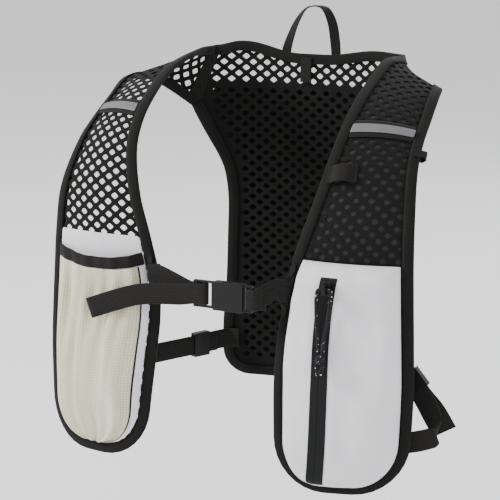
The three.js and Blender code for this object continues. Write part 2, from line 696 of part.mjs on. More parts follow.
const zipRowCount = zipRows(ZIP_INSET).length - 1;
const zipColumnCount = zipPlaces(HALF_WIDTH, 0).length - 1;
add(
  "left_zip_pocket",
  wall(
    zipRowCount,
    zipColumnCount,
    zipFace(ZIP_INSET + POCKET_T, ZIP_BULGE - POCKET_T, 0),
    zipFace(ZIP_INSET, ZIP_BULGE, 0),
  ),
  WHITE_CLOTH,
);

const ZIP_FIRST = 2; // first row of the pocket that the tape covers, and how many it leaves at the top
const ZIP_COLUMN = DOME.length;
const tapeFace = (h) => {
  const face = zipFace(ZIP_INSET, ZIP_BULGE, h);
  return (i, j) => face(i + ZIP_FIRST, j + ZIP_COLUMN);
};
add("left_zip_tape", wall(zipRowCount - 2 * ZIP_FIRST, 1, tapeFace(GAP), tapeFace(GAP + TAPE_T)), ZIP_TAPE);

// Moves a geometry made at the origin, x across, y along and z off, onto a place of the cloth
function seat(geometry, surface, a, b, h) {
  const off = surface.normal(a, b);
  const across = surface.at(a + 1, b, h).sub(surface.at(a - 1, b, h)).normalize();
  const along = off.clone().cross(across).normalize();
  across.crossVectors(along, off);
  return geometry.applyMatrix4(new THREE.Matrix4().makeBasis(across, along, off).setPosition(surface.at(a, b, h)));
}

// Zip slider with a bail for the cord
const SLIDER_AT = 195;
const SLIDER_H = 2.6;
const CORD_R = 1.7;
const BAIL = { across: 3.4, along: 9, wall: 1.5 };
const zipTop = ZIP_BASE + ZIP_BULGE + GAP + TAPE_T;
const bailClear = 2 * (CORD_R + GAP);
const sliderBody = boxAt([9, 13, SLIDER_H], [0, 0, SLIDER_H / 2]);
const bailArch = cut(
  boxAt([BAIL.across, BAIL.along, bailClear + BAIL.wall], [0, 0, SLIDER_H + (bailClear + BAIL.wall) / 2 - 0.2]),
  boxAt([BAIL.across * 2, bailClear, bailClear], [0, 0, SLIDER_H + bailClear / 2 - 0.2]),
);
add("left_zip_slider", seat(fuse(sliderBody, bailArch), cloth.left, zipAt(SLIDER_AT), SLIDER_AT, zipTop + GAP + 0.3), PLASTIC);

// Pull cord: doubled through the bail, down to a knot
const CORD_DROP = 64;
const cordH = zipTop + GAP + 0.3 + SLIDER_H - 0.2 + bailClear / 2;
const cordSide = (side) => [
  cloth.left.at(zipAt(SLIDER_AT) + 5.2 * side, SLIDER_AT - 1.5, cordH),
  cloth.left.at(zipAt(SLIDER_AT) + 6 * side, SLIDER_AT - 10, cordH),
  cloth.left.at(zipAt(SLIDER_AT) + 5 * side, SLIDER_AT - 30, cordH - 1),
  cloth.left.at(zipAt(SLIDER_AT) + 2.2 * side, SLIDER_AT - CORD_DROP + 8, cordH),
  cloth.left.at(zipAt(SLIDER_AT) + 2.2 * side, SLIDER_AT - CORD_DROP, cordH),
];
const cordLine = [
  ...cordSide(-1).reverse(),
  cloth.left.at(zipAt(SLIDER_AT), SLIDER_AT, cordH),
  ...cordSide(1),
];
add("zip_pull_cord", tube(cordLine, CORD_R, 8, 24), CORD);
const KNOT_R = 5;
const knotBody = new THREE.SphereGeometry(KNOT_R, 8, 5);
const knotEnd = (side) =>
  new THREE.CylinderGeometry(CORD_R, 1.35 * CORD_R, 13, 6).rotateZ(-0.22 * side).translate(2.4 * side, -KNOT_R - 4, 0);
const knot = fuse(knotBody, knotEnd(-1), knotEnd(1));
add("zip_pull_knot", seat(knot, cloth.left, zipAt(SLIDER_AT), SLIDER_AT - CORD_DROP - GAP - KNOT_R, cordH + 1), CORD);

// Tape with a reflective strip across each strap, between its bindings
const tapeH = SLOT;
for (const side of ["right", "left"]) {
  const surface = cloth[side];
  const middle = STRAP_TAPE_AT[side];
  const rows = (width) => [-0.5, 0, 0.5].map((share) => middle + share * width);
  const shorter = (inset) => (b) => places(surface.half(b) - inset, PANEL_COLUMNS);
  add(side + "_strap_tape", layer(surface, rows(STRAP_TAPE_W), shorter(EDGE_IN), tapeH, tapeH + TAPE_T), WEBBING);
  const low = tapeH + TAPE_T + GAP;
  add(side + "_reflector", layer(surface, rows(REFLECTOR_W), shorter(EDGE_IN + 0.5), low, low + 0.6), SILVER);
}

// A tab of tape folded over the edge of a binding: side is the edge, out how far its loop stands off it
function edgeTab(surface, edge, b, width, out, reach) {
  const inner = BINDING_OUT + GAP + 0.6;
  const outer = inner + TAPE_T;
  const rest = BINDING_T + 2 * GAP + 0.9;
  const profile = [
    [reach, -outer],
    [reach, -inner],
    [-rest - 0.6 * out, -inner],
    [-rest - out, 0],
    [-rest - 0.6 * out, inner],
    [reach, inner],
    [reach, outer],
    [-rest - 0.6 * out - TAPE_T / 2, outer],
    [-rest - out - TAPE_T, 0],
    [-rest - 0.6 * out - TAPE_T / 2, -outer],
  ];
  return sweep(profile, 1, (k, u, v) => {
    const height = b + (k - 0.5) * width;
    return surface.at(edge * (surface.half(height) - u), height, v);
  });
}

const KEEPER_AT = 294;
const keeperRows = [
  [4, BINDING_OUT + GAP],
  [8, BINDING_OUT + GAP],
  [14, BINDING_OUT + 3.8],
  [23, BINDING_OUT + 3.4],
  [27, SLOT],
  [31, SLOT],
].map(([inset, h]) => ({
  at: cloth.left.at(inset - cloth.left.half(KEEPER_AT), KEEPER_AT, h + TAPE_T / 2 + 0.1),
  across: cloth.left.at(0, KEEPER_AT + 1).sub(cloth.left.at(0, KEEPER_AT - 1)),
}));
add("hose_keeper", strip(keeperRows, 17, TAPE_T, 10), WEBBING);
add("arm_tab", edgeTab(cloth.left, 1, 318, 8, 3.5, 6), WEBBING);

// Sleeve on the outside of the back, open at its top
const SLEEVE_IN = EDGE_IN + 2;
const SLEEVE_ROWS = [...levels(BACK_CORNER_R, SLEEVE_IN, WING_LOW, 4), ...wingRows, SLEEVE_TOP];
const SLEEVE_COLUMNS = 8;

function sleeveFace(inset, top, h) {
  return (i, j) => {
    const b = i < CORNER_ROWS ? levels(BACK_CORNER_R, inset, top, 1)[i] : Math.min(SLEEVE_ROWS[i], top);
    const s = (2 * j) / SLEEVE_COLUMNS - 1;
    const rise = SLEEVE_BULGE * (1 - s ** 4) * smoothstep(b, -20, 90) * (1 - 0.35 * smoothstep(b, 200, SLEEVE_TOP));
    return cloth.back.at(s * cloth.back.half(b, inset), b, STACK + rise + h);
  };
}

add(
  "back_sleeve",
  wall(
    SLEEVE_ROWS.length - 1,
    SLEEVE_COLUMNS,
    sleeveFace(SLEEVE_IN + POCKET_T, SLEEVE_TOP, 0),
    sleeveFace(SLEEVE_IN, SLEEVE_TOP, POCKET_T),
  ),
  SLEEVE_CLOTH,
);

// Hang loop at the neck and tab for the sleeve's bladder
const LOOP_FOOT = 27;
const LOOP_RISE = 50;
const LOOP_LEAN = 4; // how far its feet and its top lie to either side of the middle
const loopH = BINDING_OUT + GAP + TAPE_T / 2;
const onNeck = (x, drop, h) => cloth.back.at(x, cloth.back.top(x) - drop, h);
const aboveNeck = (x, rise, forward) => onNeck(0, 0, 0).add(v3(x, -forward, rise));
const loopSide = (side) => [
  { at: onNeck(side * LOOP_FOOT - LOOP_LEAN, BINDING_W - 1, loopH), across: v3(-side, 0, 0) },
  { at: onNeck(side * LOOP_FOOT - LOOP_LEAN, 0, loopH + 0.4), across: v3(-side, 0, 0) },
  { at: aboveNeck(side * 25 - 0.6 * LOOP_LEAN, 14, -2), across: v3(-side, -0.35, -0.2) },
  { at: aboveNeck(side * 18 + 0.4 * LOOP_LEAN, 0.72 * LOOP_RISE, 1), across: v3(-0.8 * side, -1, -0.4) },
  { at: aboveNeck(side * 8 + LOOP_LEAN, 0.97 * LOOP_RISE, 3), across: v3(-0.3 * side, -1, 0) },
];
const loopRows = [
  ...loopSide(-1),
  ...loopSide(1).reverse(),
];
add("hang_loop", strip(loopRows, LOOP_W, TAPE_T, 24), WEBBING);
const TAB_AT = -6.6;
const TAB_DROP = 27;
const tabRows = [2, 0.4 * TAB_DROP, 0.7 * TAB_DROP, TAB_DROP].map((drop, k) => ({
  at: onNeck(TAB_AT, drop, -(BINDING_OUT + 2 * GAP + TAPE_T / 2 + 0.5 * k)),
  across: v3(1, 0, 0),
}));
add("sleeve_tab", strip(tabRows, 12, TAPE_T, 6), WEBBING);

// Chest strap. Its places are shares of the vest's sizes: x of HALF_WIDTH, y of FRONT_REACH, z of FRONT_DROP.
const placed = (x, y, z) => v3(x * HALF_WIDTH, y * FRONT_REACH, z * FRONT_DROP);
const CHEST = {
  buckle: placed(0.066, -1.0, -0.523),
  tail: placed(-0.673, -1.035, -0.589),
};
const CHEST_AT = { right: 177, left: 183 };
const ANCHOR_W = 5;
const ANCHOR_H = 8.5;
const TURN_R = TAPE_T / 2 + GAP + WEBBING_T / 2 + 0.2;

const anchorPlace = {};
for (const side of ["right", "left"]) {
  const surface = cloth[side];
  const middle = CHEST_AT[side];
  const place = (rise, h) => surface.at(-surface.half(middle + rise) + ANCHOR_W / 2 + 0.8, middle + rise, h);
  const edge = 1 - surface.half(middle);
  const level = surface.at(edge, middle, 0).sub(surface.at(edge + 6, middle, 0)).normalize();
  const upright = place(10, ANCHOR_H).sub(place(-10, ANCHOR_H)).normalize();
  anchorPlace[side] = { at: place(0, ANCHOR_H), up: upright, level, place };
}

// Half circle of rows round a bar at centre: from its off side to its other, away from the way the strap leaves
function turn(centre, leave, off, across, radius, half) {
  return [-90, -45, 0, 45, 90].map((degrees) => {
    const angle = (degrees * Math.PI) / 180;
    return {
      at: centre
        .clone()
        .addScaledVector(leave, -half - radius * Math.cos(angle))
        .addScaledVector(off, radius * Math.sin(angle)),
      across,
    };
  });
}

// The buckle's own frame: x along the strap to the wearer's left, y up, z off the chest. The plug's ladder bar, the
// socket and its bar follow one another along x.
const BUCKLE_H = 27;
const BUCKLE_BAR = 3;
const BUCKLE_T = 3.6;
const PLUG_X = { end: -30, bar: -19.5, body: -9.5, tip: 12 };
const SOCKET = { low: -9, high: 21.5, thick: 9.5, wall: 2.2, bar: 28.5, end: 30 };
const strapAlong = anchorPlace.left.at.clone().sub(anchorPlace.right.at).normalize();
const strapOff = strapAlong.clone().cross(v3(0, 0, 1)).normalize();
const strapUp = strapOff.clone().cross(strapAlong);
const buckleFrame = new THREE.Matrix4().makeBasis(strapAlong, strapUp, strapOff).setPosition(CHEST.buckle);
const inBuckle = (x, y, z) => v3(x, y, z).applyMatrix4(buckleFrame);
const slotHalf = WEBBING_W / 2 + 1;
const span = (low, high, height, thick) => boxAt([high - low, height, thick], [(low + high) / 2, 0, 0]);

const plugArm = (side) =>
  boxAt([PLUG_X.tip - PLUG_X.body + 1, 3.4, 3], [(PLUG_X.tip + PLUG_X.body - 1) / 2, side * 7.6, 0]);
const plug = cut(
  fuse(span(PLUG_X.end, PLUG_X.body, BUCKLE_H - 1.5, BUCKLE_T), plugArm(-1), plugArm(1)),
  span(PLUG_X.end + BUCKLE_BAR, PLUG_X.bar - BUCKLE_BAR / 2, 2 * slotHalf, 20),
  span(PLUG_X.bar + BUCKLE_BAR / 2, PLUG_X.body - 2, 2 * slotHalf, 20),
);
add("buckle_plug", plug.applyMatrix4(buckleFrame), PLASTIC);

const socket = cut(
  fuse(
    span(SOCKET.low, SOCKET.high, BUCKLE_H, SOCKET.thick),
    span(SOCKET.high - 1, SOCKET.end, BUCKLE_H - 1.5, BUCKLE_T),
  ),
  span(SOCKET.low - 5, SOCKET.high - 5, BUCKLE_H - 2 * SOCKET.wall, SOCKET.thick - 2 * SOCKET.wall),
  boxAt([11, 40, SOCKET.thick - 2 * SOCKET.wall], [4.5, 0, 0]),
  span(SOCKET.high + 1.3, SOCKET.bar - BUCKLE_BAR / 2, 2 * slotHalf, 20),
);
add("buckle_socket", socket.applyMatrix4(buckleFrame), PLASTIC);

// Chest webbing: folded round the anchor, then round the bar; on the right it goes on as a free tail
const BAR_TURN = BUCKLE_T / 2 + GAP + WEBBING_T / 2;
const webbingRow = (at) => ({ at, across: strapUp });

function anchorTurn(side) {
  const { at, up, level, place } = anchorPlace[side];
  const leave = inBuckle(side === "right" ? PLUG_X.end : SOCKET.end, 0, 0).sub(at);
  leave.addScaledVector(up, -leave.dot(up)).normalize();
  const off = leave.clone().cross(up).multiplyScalar(side === "right" ? 1 : -1);
  const seated = BINDING_OUT + GAP + TAPE_T / 2 + 1;
  const end = (rise) => ({ at: place(rise, seated), across: level });
  const held = (rise) => ({ at: at.clone().addScaledVector(up, rise), across: leave });
  const rows = [end(-26), end(-18), held(-12.5), held(0), held(12.5), end(18), end(26)];
  add(side + "_chest_anchor", strip(rows, ANCHOR_W, TAPE_T, 18), WEBBING);
  const beside = (x, z) => ({ at: at.clone().addScaledVector(leave, x).addScaledVector(off, z), across: up });
  return [beside(11, -TURN_R), ...turn(at, leave, off, up, TURN_R, ANCHOR_W / 2 - 0.3), beside(11, TURN_R)];
}

const barTurn = (bar, leave) =>
  turn(inBuckle(bar, 0, 0), strapAlong.clone().multiplyScalar(leave), strapOff, strapUp, BAR_TURN, BUCKLE_BAR / 2 - 0.9);
const tailRow = (share, sag) =>
  webbingRow(inBuckle(PLUG_X.end - 3, 0, BAR_TURN).lerp(CHEST.tail, share).add(v3(0, 0, -sag)));
const rightChest = [
  ...anchorTurn("right"),
  webbingRow(inBuckle(PLUG_X.end - 6, 0, -BAR_TURN)),
  webbingRow(inBuckle(PLUG_X.end + 1, 0, -BAR_TURN)),
  ...barTurn(PLUG_X.bar, -1),
  webbingRow(inBuckle(PLUG_X.end + 1, 0, BAR_TURN)),
  tailRow(0.1, 0),
  tailRow(0.5, -6),
  tailRow(1, 0),
];
add("right_chest_webbing", strip(rightChest, WEBBING_W, WEBBING_T, 2 * (rightChest.length - 1)), WEBBING);
const leftChest = [
  webbingRow(inBuckle(SOCKET.end + 12, 0, -BAR_TURN + 0.6)),
  ...barTurn(SOCKET.bar, 1),
  webbingRow(inBuckle(SOCKET.end + 4, 0, BAR_TURN)),
  ...anchorTurn("left").reverse(),
];
add("left_chest_webbing", strip(leftChest, WEBBING_W, WEBBING_T, 2 * (leftChest.length - 1)), WEBBING);

// Side straps: the back webbing and the front webbing of each side overlap inside a slider
const SIDE_AT = { back: 38, right: 68, left: 48 };
const SLIDER_L = 20;
const sideH = BINDING_OUT + 2 * GAP + WEBBING_T / 2 + 0.8;
const LAYER = (WEBBING_T + GAP) / 2;

function sliderFrame(centre, along, across) {
  const u = along.clone().normalize();
  const off = across.clone().cross(u).normalize();
  const w = u.clone().cross(off);
  return new THREE.Matrix4().makeBasis(w, u, off).setPosition(centre);
}

function sideSlider(name, frame) {
  const thick = 2 * WEBBING_T + 3 * GAP;
  const body = cut(
    boxAt([WEBBING_W + 5, SLIDER_L, thick + 3], [0, 0, 0]),
    boxAt([WEBBING_W + 2 * GAP + 0.4, 2 * SLIDER_L, thick], [0, 0, 0]),
  );
  add(name, body.applyMatrix4(frame), PLASTIC);
}

const up = v3(0, 0, 1);
const backStart = (side) =>
  [16, 5].map((inset) => ({
    at: cloth.back.at(side * (cloth.back.half(SIDE_AT.back) - inset), SIDE_AT.back, -sideH),
    across: up,
  }));
const frontEnd = (side) => {
  const surface = side < 0 ? cloth.right : cloth.left;
  const b = side < 0 ? SIDE_AT.right : SIDE_AT.left;
  const at = (inset, h) => ({ at: surface.at(surface.half(b) - inset, b, -h), across: up });
  return side < 0 ? [at(15, 11), at(10, sideH + 1.4), at(2, sideH)] : [at(12, sideH), at(3, sideH)];
};

// Rows of a webbing through a slider, from one end of it to the other
const through = (frame, from, to, z, across) =>
  [from, to].map((y) => ({ at: v3(0, y, z).applyMatrix4(frame), across }));

const rightBack = backStart(-1);
const rightFront = frontEnd(-1);
const rightWay = rightFront[0].at.clone().sub(rightBack[1].at);
const rightFrame = sliderFrame(rightBack[1].at.clone().addScaledVector(rightWay, 0.19), rightWay, up);
sideSlider("right_side_slider", rightFrame);
const rightUp = v3(0, 0, 1).addScaledVector(rightWay.clone().normalize(), -rightWay.clone().normalize().z);
add(
  "right_side_back_webbing",
  strip([...rightBack, ...through(rightFrame, -7, 9, -LAYER, rightUp)], WEBBING_W, WEBBING_T, 12),
  WEBBING,
);
add(
  "right_side_front_webbing",
  strip([...through(rightFrame, -22, 7, LAYER, rightUp), ...through(rightFrame, 60, 110, LAYER, up), ...rightFront], WEBBING_W, WEBBING_T, 18),
  WEBBING,
);

const LEFT_ALONG = v3(-0.61, -0.09, 0.79);
const LEFT_ACROSS = v3(0.79, 0, 0.61);
const leftFrame = sliderFrame(placed(0.947, -0.65, -0.733), LEFT_ALONG, LEFT_ACROSS);
sideSlider("left_side_slider", leftFrame);
add(
  "left_side_front_webbing",
  strip(
    [
      ...frontEnd(1),
      { at: placed(1.06, -0.77, -0.86), across: up },
      { at: placed(1.1, -0.735, -0.852), across: v3(0.05, 0, 1) },
      { at: placed(1.08, -0.685, -0.83), across: v3(0.35, 0, 0.95) },
      ...through(leftFrame, -16, -7, LAYER, LEFT_ACROSS),
      ...through(leftFrame, 2, 9, LAYER, LEFT_ACROSS),
    ],
    WEBBING_W,
    WEBBING_T,
    24,
  ),
  WEBBING,
);
add(
  "left_side_back_webbing",
  strip(
    [
      ...backStart(1),
      { at: placed(0.72, -0.2, -0.77), across: up },
      { at: placed(0.85, -0.52, -0.715), across: v3(0.2, 0, 1) },
      ...through(leftFrame, 17, 7, -LAYER - 0.2, LEFT_ACROSS),
      ...through(leftFrame, -7, -16, -LAYER - 0.2, LEFT_ACROSS),
      { at: v3(-1, -34, -LAYER - 4).applyMatrix4(leftFrame), across: v3(0.65, 0, 0.75) },
      { at: v3(-5, -56, -LAYER - 7).applyMatrix4(leftFrame), across: v3(0.5, 0, 0.86) },
    ],
    WEBBING_W,
    WEBBING_T,
    32,
  ),
  WEBBING,
);

export default vest;
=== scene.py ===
"""Looks of a running hydration vest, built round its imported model.

Lengths are worked out in millimetres on the cloth and turned into metres where a mesh is made. The frame is
the part's own: +Z up, the wearer faces -Y and the wearer's left is +X.
"""

from __future__ import annotations

import json
import logging
import math
from dataclasses import dataclass
from enum import Enum
from itertools import combinations, permutations
from typing import Callable, Iterable, Sequence

import bmesh
import bpy
import numpy as np
from mathutils import Vector
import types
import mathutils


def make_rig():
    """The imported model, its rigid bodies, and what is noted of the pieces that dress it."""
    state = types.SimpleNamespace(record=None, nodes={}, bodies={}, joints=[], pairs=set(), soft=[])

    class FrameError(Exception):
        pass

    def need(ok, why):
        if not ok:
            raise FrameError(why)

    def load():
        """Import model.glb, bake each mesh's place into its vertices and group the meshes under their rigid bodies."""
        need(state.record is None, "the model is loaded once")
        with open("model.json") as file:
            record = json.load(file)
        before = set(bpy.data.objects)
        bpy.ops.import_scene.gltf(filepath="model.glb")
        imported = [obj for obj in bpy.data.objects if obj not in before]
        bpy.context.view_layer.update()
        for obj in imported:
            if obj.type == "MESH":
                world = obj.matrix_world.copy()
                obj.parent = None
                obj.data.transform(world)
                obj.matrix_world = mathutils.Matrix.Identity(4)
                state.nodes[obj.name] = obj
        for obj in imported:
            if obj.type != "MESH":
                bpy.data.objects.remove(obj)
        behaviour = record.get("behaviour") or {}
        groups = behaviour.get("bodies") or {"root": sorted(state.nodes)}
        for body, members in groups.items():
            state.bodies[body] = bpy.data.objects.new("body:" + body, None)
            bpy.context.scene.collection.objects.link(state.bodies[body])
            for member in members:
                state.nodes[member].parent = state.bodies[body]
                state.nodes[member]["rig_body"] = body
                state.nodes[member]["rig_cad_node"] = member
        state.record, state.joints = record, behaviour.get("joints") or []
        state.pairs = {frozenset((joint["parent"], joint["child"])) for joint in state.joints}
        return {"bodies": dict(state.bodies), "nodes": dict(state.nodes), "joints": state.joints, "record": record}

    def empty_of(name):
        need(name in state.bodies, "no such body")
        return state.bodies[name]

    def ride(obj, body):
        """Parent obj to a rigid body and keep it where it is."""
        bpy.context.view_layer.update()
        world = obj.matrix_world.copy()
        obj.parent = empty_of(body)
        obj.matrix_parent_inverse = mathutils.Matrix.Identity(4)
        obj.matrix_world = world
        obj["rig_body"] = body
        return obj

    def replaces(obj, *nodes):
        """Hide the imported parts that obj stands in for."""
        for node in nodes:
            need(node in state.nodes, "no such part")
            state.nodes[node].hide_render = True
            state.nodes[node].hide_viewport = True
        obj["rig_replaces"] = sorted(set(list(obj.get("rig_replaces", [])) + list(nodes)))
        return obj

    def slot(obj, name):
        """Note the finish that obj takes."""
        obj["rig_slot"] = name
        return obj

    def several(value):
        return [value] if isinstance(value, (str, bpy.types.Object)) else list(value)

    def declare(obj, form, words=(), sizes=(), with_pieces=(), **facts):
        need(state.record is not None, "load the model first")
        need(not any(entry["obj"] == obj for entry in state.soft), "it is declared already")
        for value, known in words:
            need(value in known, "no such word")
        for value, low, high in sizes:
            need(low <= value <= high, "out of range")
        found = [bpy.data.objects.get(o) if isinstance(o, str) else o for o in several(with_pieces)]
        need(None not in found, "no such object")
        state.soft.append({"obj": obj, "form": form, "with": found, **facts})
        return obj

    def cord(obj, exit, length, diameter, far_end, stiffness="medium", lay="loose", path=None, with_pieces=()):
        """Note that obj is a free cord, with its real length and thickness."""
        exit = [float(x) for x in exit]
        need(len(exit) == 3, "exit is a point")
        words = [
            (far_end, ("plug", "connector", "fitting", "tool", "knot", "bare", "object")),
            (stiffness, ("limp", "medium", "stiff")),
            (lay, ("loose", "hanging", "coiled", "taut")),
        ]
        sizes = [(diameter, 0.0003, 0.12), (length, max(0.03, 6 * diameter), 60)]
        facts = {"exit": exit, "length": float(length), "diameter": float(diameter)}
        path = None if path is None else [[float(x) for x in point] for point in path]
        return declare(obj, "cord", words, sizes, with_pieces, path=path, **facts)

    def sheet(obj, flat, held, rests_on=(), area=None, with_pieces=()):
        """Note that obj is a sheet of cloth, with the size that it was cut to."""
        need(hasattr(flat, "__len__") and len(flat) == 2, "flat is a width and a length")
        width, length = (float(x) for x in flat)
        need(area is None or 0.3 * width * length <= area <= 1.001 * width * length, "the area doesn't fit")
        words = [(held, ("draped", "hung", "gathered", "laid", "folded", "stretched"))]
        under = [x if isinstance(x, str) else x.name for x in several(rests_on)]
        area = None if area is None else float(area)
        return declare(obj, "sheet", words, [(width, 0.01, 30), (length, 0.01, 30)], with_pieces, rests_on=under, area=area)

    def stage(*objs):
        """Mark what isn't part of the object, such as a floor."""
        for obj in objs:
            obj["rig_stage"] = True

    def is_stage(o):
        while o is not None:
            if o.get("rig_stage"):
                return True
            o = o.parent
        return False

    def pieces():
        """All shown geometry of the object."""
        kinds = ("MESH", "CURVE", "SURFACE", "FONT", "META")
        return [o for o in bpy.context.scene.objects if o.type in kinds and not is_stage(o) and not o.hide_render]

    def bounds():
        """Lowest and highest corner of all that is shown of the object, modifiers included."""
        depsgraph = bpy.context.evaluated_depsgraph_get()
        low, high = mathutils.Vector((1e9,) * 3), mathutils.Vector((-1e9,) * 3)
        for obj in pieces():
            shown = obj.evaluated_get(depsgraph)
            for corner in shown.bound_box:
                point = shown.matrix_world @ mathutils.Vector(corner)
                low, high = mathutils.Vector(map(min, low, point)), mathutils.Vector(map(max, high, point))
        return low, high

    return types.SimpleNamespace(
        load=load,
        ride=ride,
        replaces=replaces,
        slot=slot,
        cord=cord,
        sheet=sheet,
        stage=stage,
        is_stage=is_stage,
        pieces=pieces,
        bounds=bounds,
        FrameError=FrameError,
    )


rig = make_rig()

logging.basicConfig(level=logging.INFO, format="%(message)s")
log = logging.getLogger("vest")

MM = 0.001
FORWARD, BACKWARD = (0.0, -1.0, 0.0), (0.0, 1.0, 0.0)  # out of the fronts, out of the back

# Driving sizes of the vest, as in the part's source, in millimetres
HALF_WIDTH = 188.0
FRONT_DROP = 370.0
FRONT_REACH = 166.0
SEAM_REACH = 55.0
BACK_REACH = 71.0
BACK_HALF = 96.0
BACK_DROP = 334.0
BACK_ROUND = 9.0
NECK_RISE = {-1: 5.0, 1: 1.0}
NECK_DIP = 6.0
PANEL_BOW = 9.0
SIDE_SETTLE = 8.0
SIDE_LEAN = 4.0
CORNER_R = 48.0
BACK_CORNER_R = 26.0
NET_T = 2.0
GAP = 0.35
BINDING_W = 9.0
BINDING_T = 0.9
SLOT = NET_T / 2 + GAP
STACK = NET_T / 2 + GAP
BINDING_OUT = SLOT + BINDING_T
LINING_T = 1.0
LINING_OUT = STACK + LINING_T
EDGE_IN = BINDING_W + GAP
LINING_TOP = 213.0
MESH_TOP = 186.0
MESH_BULGE = 13.0
ELASTIC_H = 12.0
ELASTIC_SAG = 6.0
ZIP_INSET = EDGE_IN + 1.5
ZIP_BASE = STACK + GAP
ZIP_BULGE = 19.0
ZIP_SHOULDER = 17.0
ZIP_SAG = 8.0
ZIP_PLACE = -19.0
ZIP_SLANT = 8.0
ZIP_TAPE_W = 16.0
SLEEVE_IN = EDGE_IN + 2.0
SLEEVE_BULGE = 11.0
SLEEVE_TOP = 307.0
STRAP_TAPE_AT = {-1: 339.0, 1: 341.0}
SLIDER_AT = 195.0
SLIDER_H = 2.6
CORD_R = 1.7
CORD_DROP = 64.0
WING_LOW = 200.0
NECK_ROUND = 0.8
SEAM_EASE = 24.0

# Front panel sections, hem to back seam: neck x y z, arm x y z, bow, settle, as shares of the sizes above
FRONT_SECTIONS = (
    (0.346, -1.0, -1.0, 0.98, -0.84, -1.0, 0.8, 1.0),
    (0.343, -0.988, -0.89, 0.99, -0.82, -0.89, 1.0, 1.0),
    (0.324, -0.94, -0.735, 1.0, -0.807, -0.735, 1.0, 1.0),
    (0.322, -0.886, -0.63, 0.995, -0.8, -0.63, 1.0, 0.7),
    (0.345, -0.842, -0.523, 0.987, -0.79, -0.523, 1.0, 0.5),
    (0.393, -0.84, -0.417, 0.979, -0.777, -0.417, 1.0, 0.4),
    (0.463, -0.813, -0.31, 0.968, -0.735, -0.31, 0.9, 0.4),
    (0.516, -0.735, -0.202, 0.931, -0.59, -0.202, 0.8, 0.6),
    (0.532, -0.62, -0.133, 0.91, -0.446, -0.147, 0.7, 0.6),
    (0.54, -0.44, -0.066, 0.9, -0.289, -0.096, 0.6, 0.2),
    (0.545, -0.2, -0.01, 0.888, -0.133, -0.05, 0.3, 0.0),
    (0.548, 0.055, 0.029, 0.867, -0.018, -0.038, 0.1, -0.5),
    (0.555, 0.38, 0.03, 0.82, 0.22, -0.05, 0.1, -0.3),
    (0.558, 0.7, 0.028, 0.755, 0.5, -0.084, 0.2, -0.1),
    (0.545, 1.0, 0.027, 0.655, 0.79, -0.134, 0.0, 0.0),
)

# Back sections, seam to hem: drop, waist, shoulder, round
BACK_SECTIONS = (
    (0.0, 0.0, 1.0, 1.35),
    (0.041, 0.248, 0.75, 1.4),
    (0.121, 0.634, 0.35, 1.45),
    (0.178, 0.812, 0.15, 1.45),
    (0.243, 0.885, 0.05, 1.35),
    (0.34, 0.925, 0.0, 1.15),
    (0.458, 0.937, 0.0, 1.0),
    (0.642, 0.953, 0.0, 1.0),
    (0.76, 0.979, 0.0, 1.0),
    (0.833, 0.99, 0.0, 1.0),
    (1.0, 0.985, 0.0, 1.0),
)

Point = np.ndarray


def unit(v: Point) -> Point:
    """The vector at length one."""
    return v / max(float(np.linalg.norm(v)), 1e-9)


def smooth(x: float, low: float, high: float) -> float:
    """Smooth step from 0 at low to 1 at high."""
    t = min(max((x - low) / (high - low), 0.0), 1.0)
    return t * t * (3 - 2 * t)


def mix(a: float, b: float, t: float) -> float:
    """A value between a and b."""
    return a + (b - a) * t


class Line:
    """A centripetal Catmull-Rom curve through points."""

    def __init__(self, points: Iterable[Sequence[float]]) -> None:
        """Keeps the points as vectors."""
        self.points = [np.array(p, float) for p in points]

    def at(self, share: float) -> Point:
        """The point at a share of the way, counted by spans.

        Args:
            share: from 0 at the first point to 1 at the last.

        Returns:
            The point.
        """
        pts, last = self.points, len(self.points) - 1
        place = last * min(max(share, 0.0), 1.0)
        k = min(int(place), last - 1)
        t = place - k
        p1, p2 = pts[k], pts[k + 1]
        p0 = pts[k - 1] if k else 2 * p1 - p2
        p3 = pts[k + 2] if k + 2 <= last else 2 * p2 - p1
        pairs = ((p0, p1), (p1, p2), (p2, p3))
        d0, d1, d2 = (max(float(np.linalg.norm(q - p)), 1e-6) ** 0.5 for p, q in pairs)
        m1 = ((p1 - p0) / d0 - (p2 - p0) / (d0 + d1) + (p2 - p1) / d1) * d1
        m2 = ((p2 - p1) / d1 - (p3 - p1) / (d1 + d2) + (p3 - p2) / d2) * d1
        return p1 + m1 * t + (3 * (p2 - p1) - 2 * m1 - m2) * t * t + (2 * (p1 - p2) + m1 + m2) * t**3


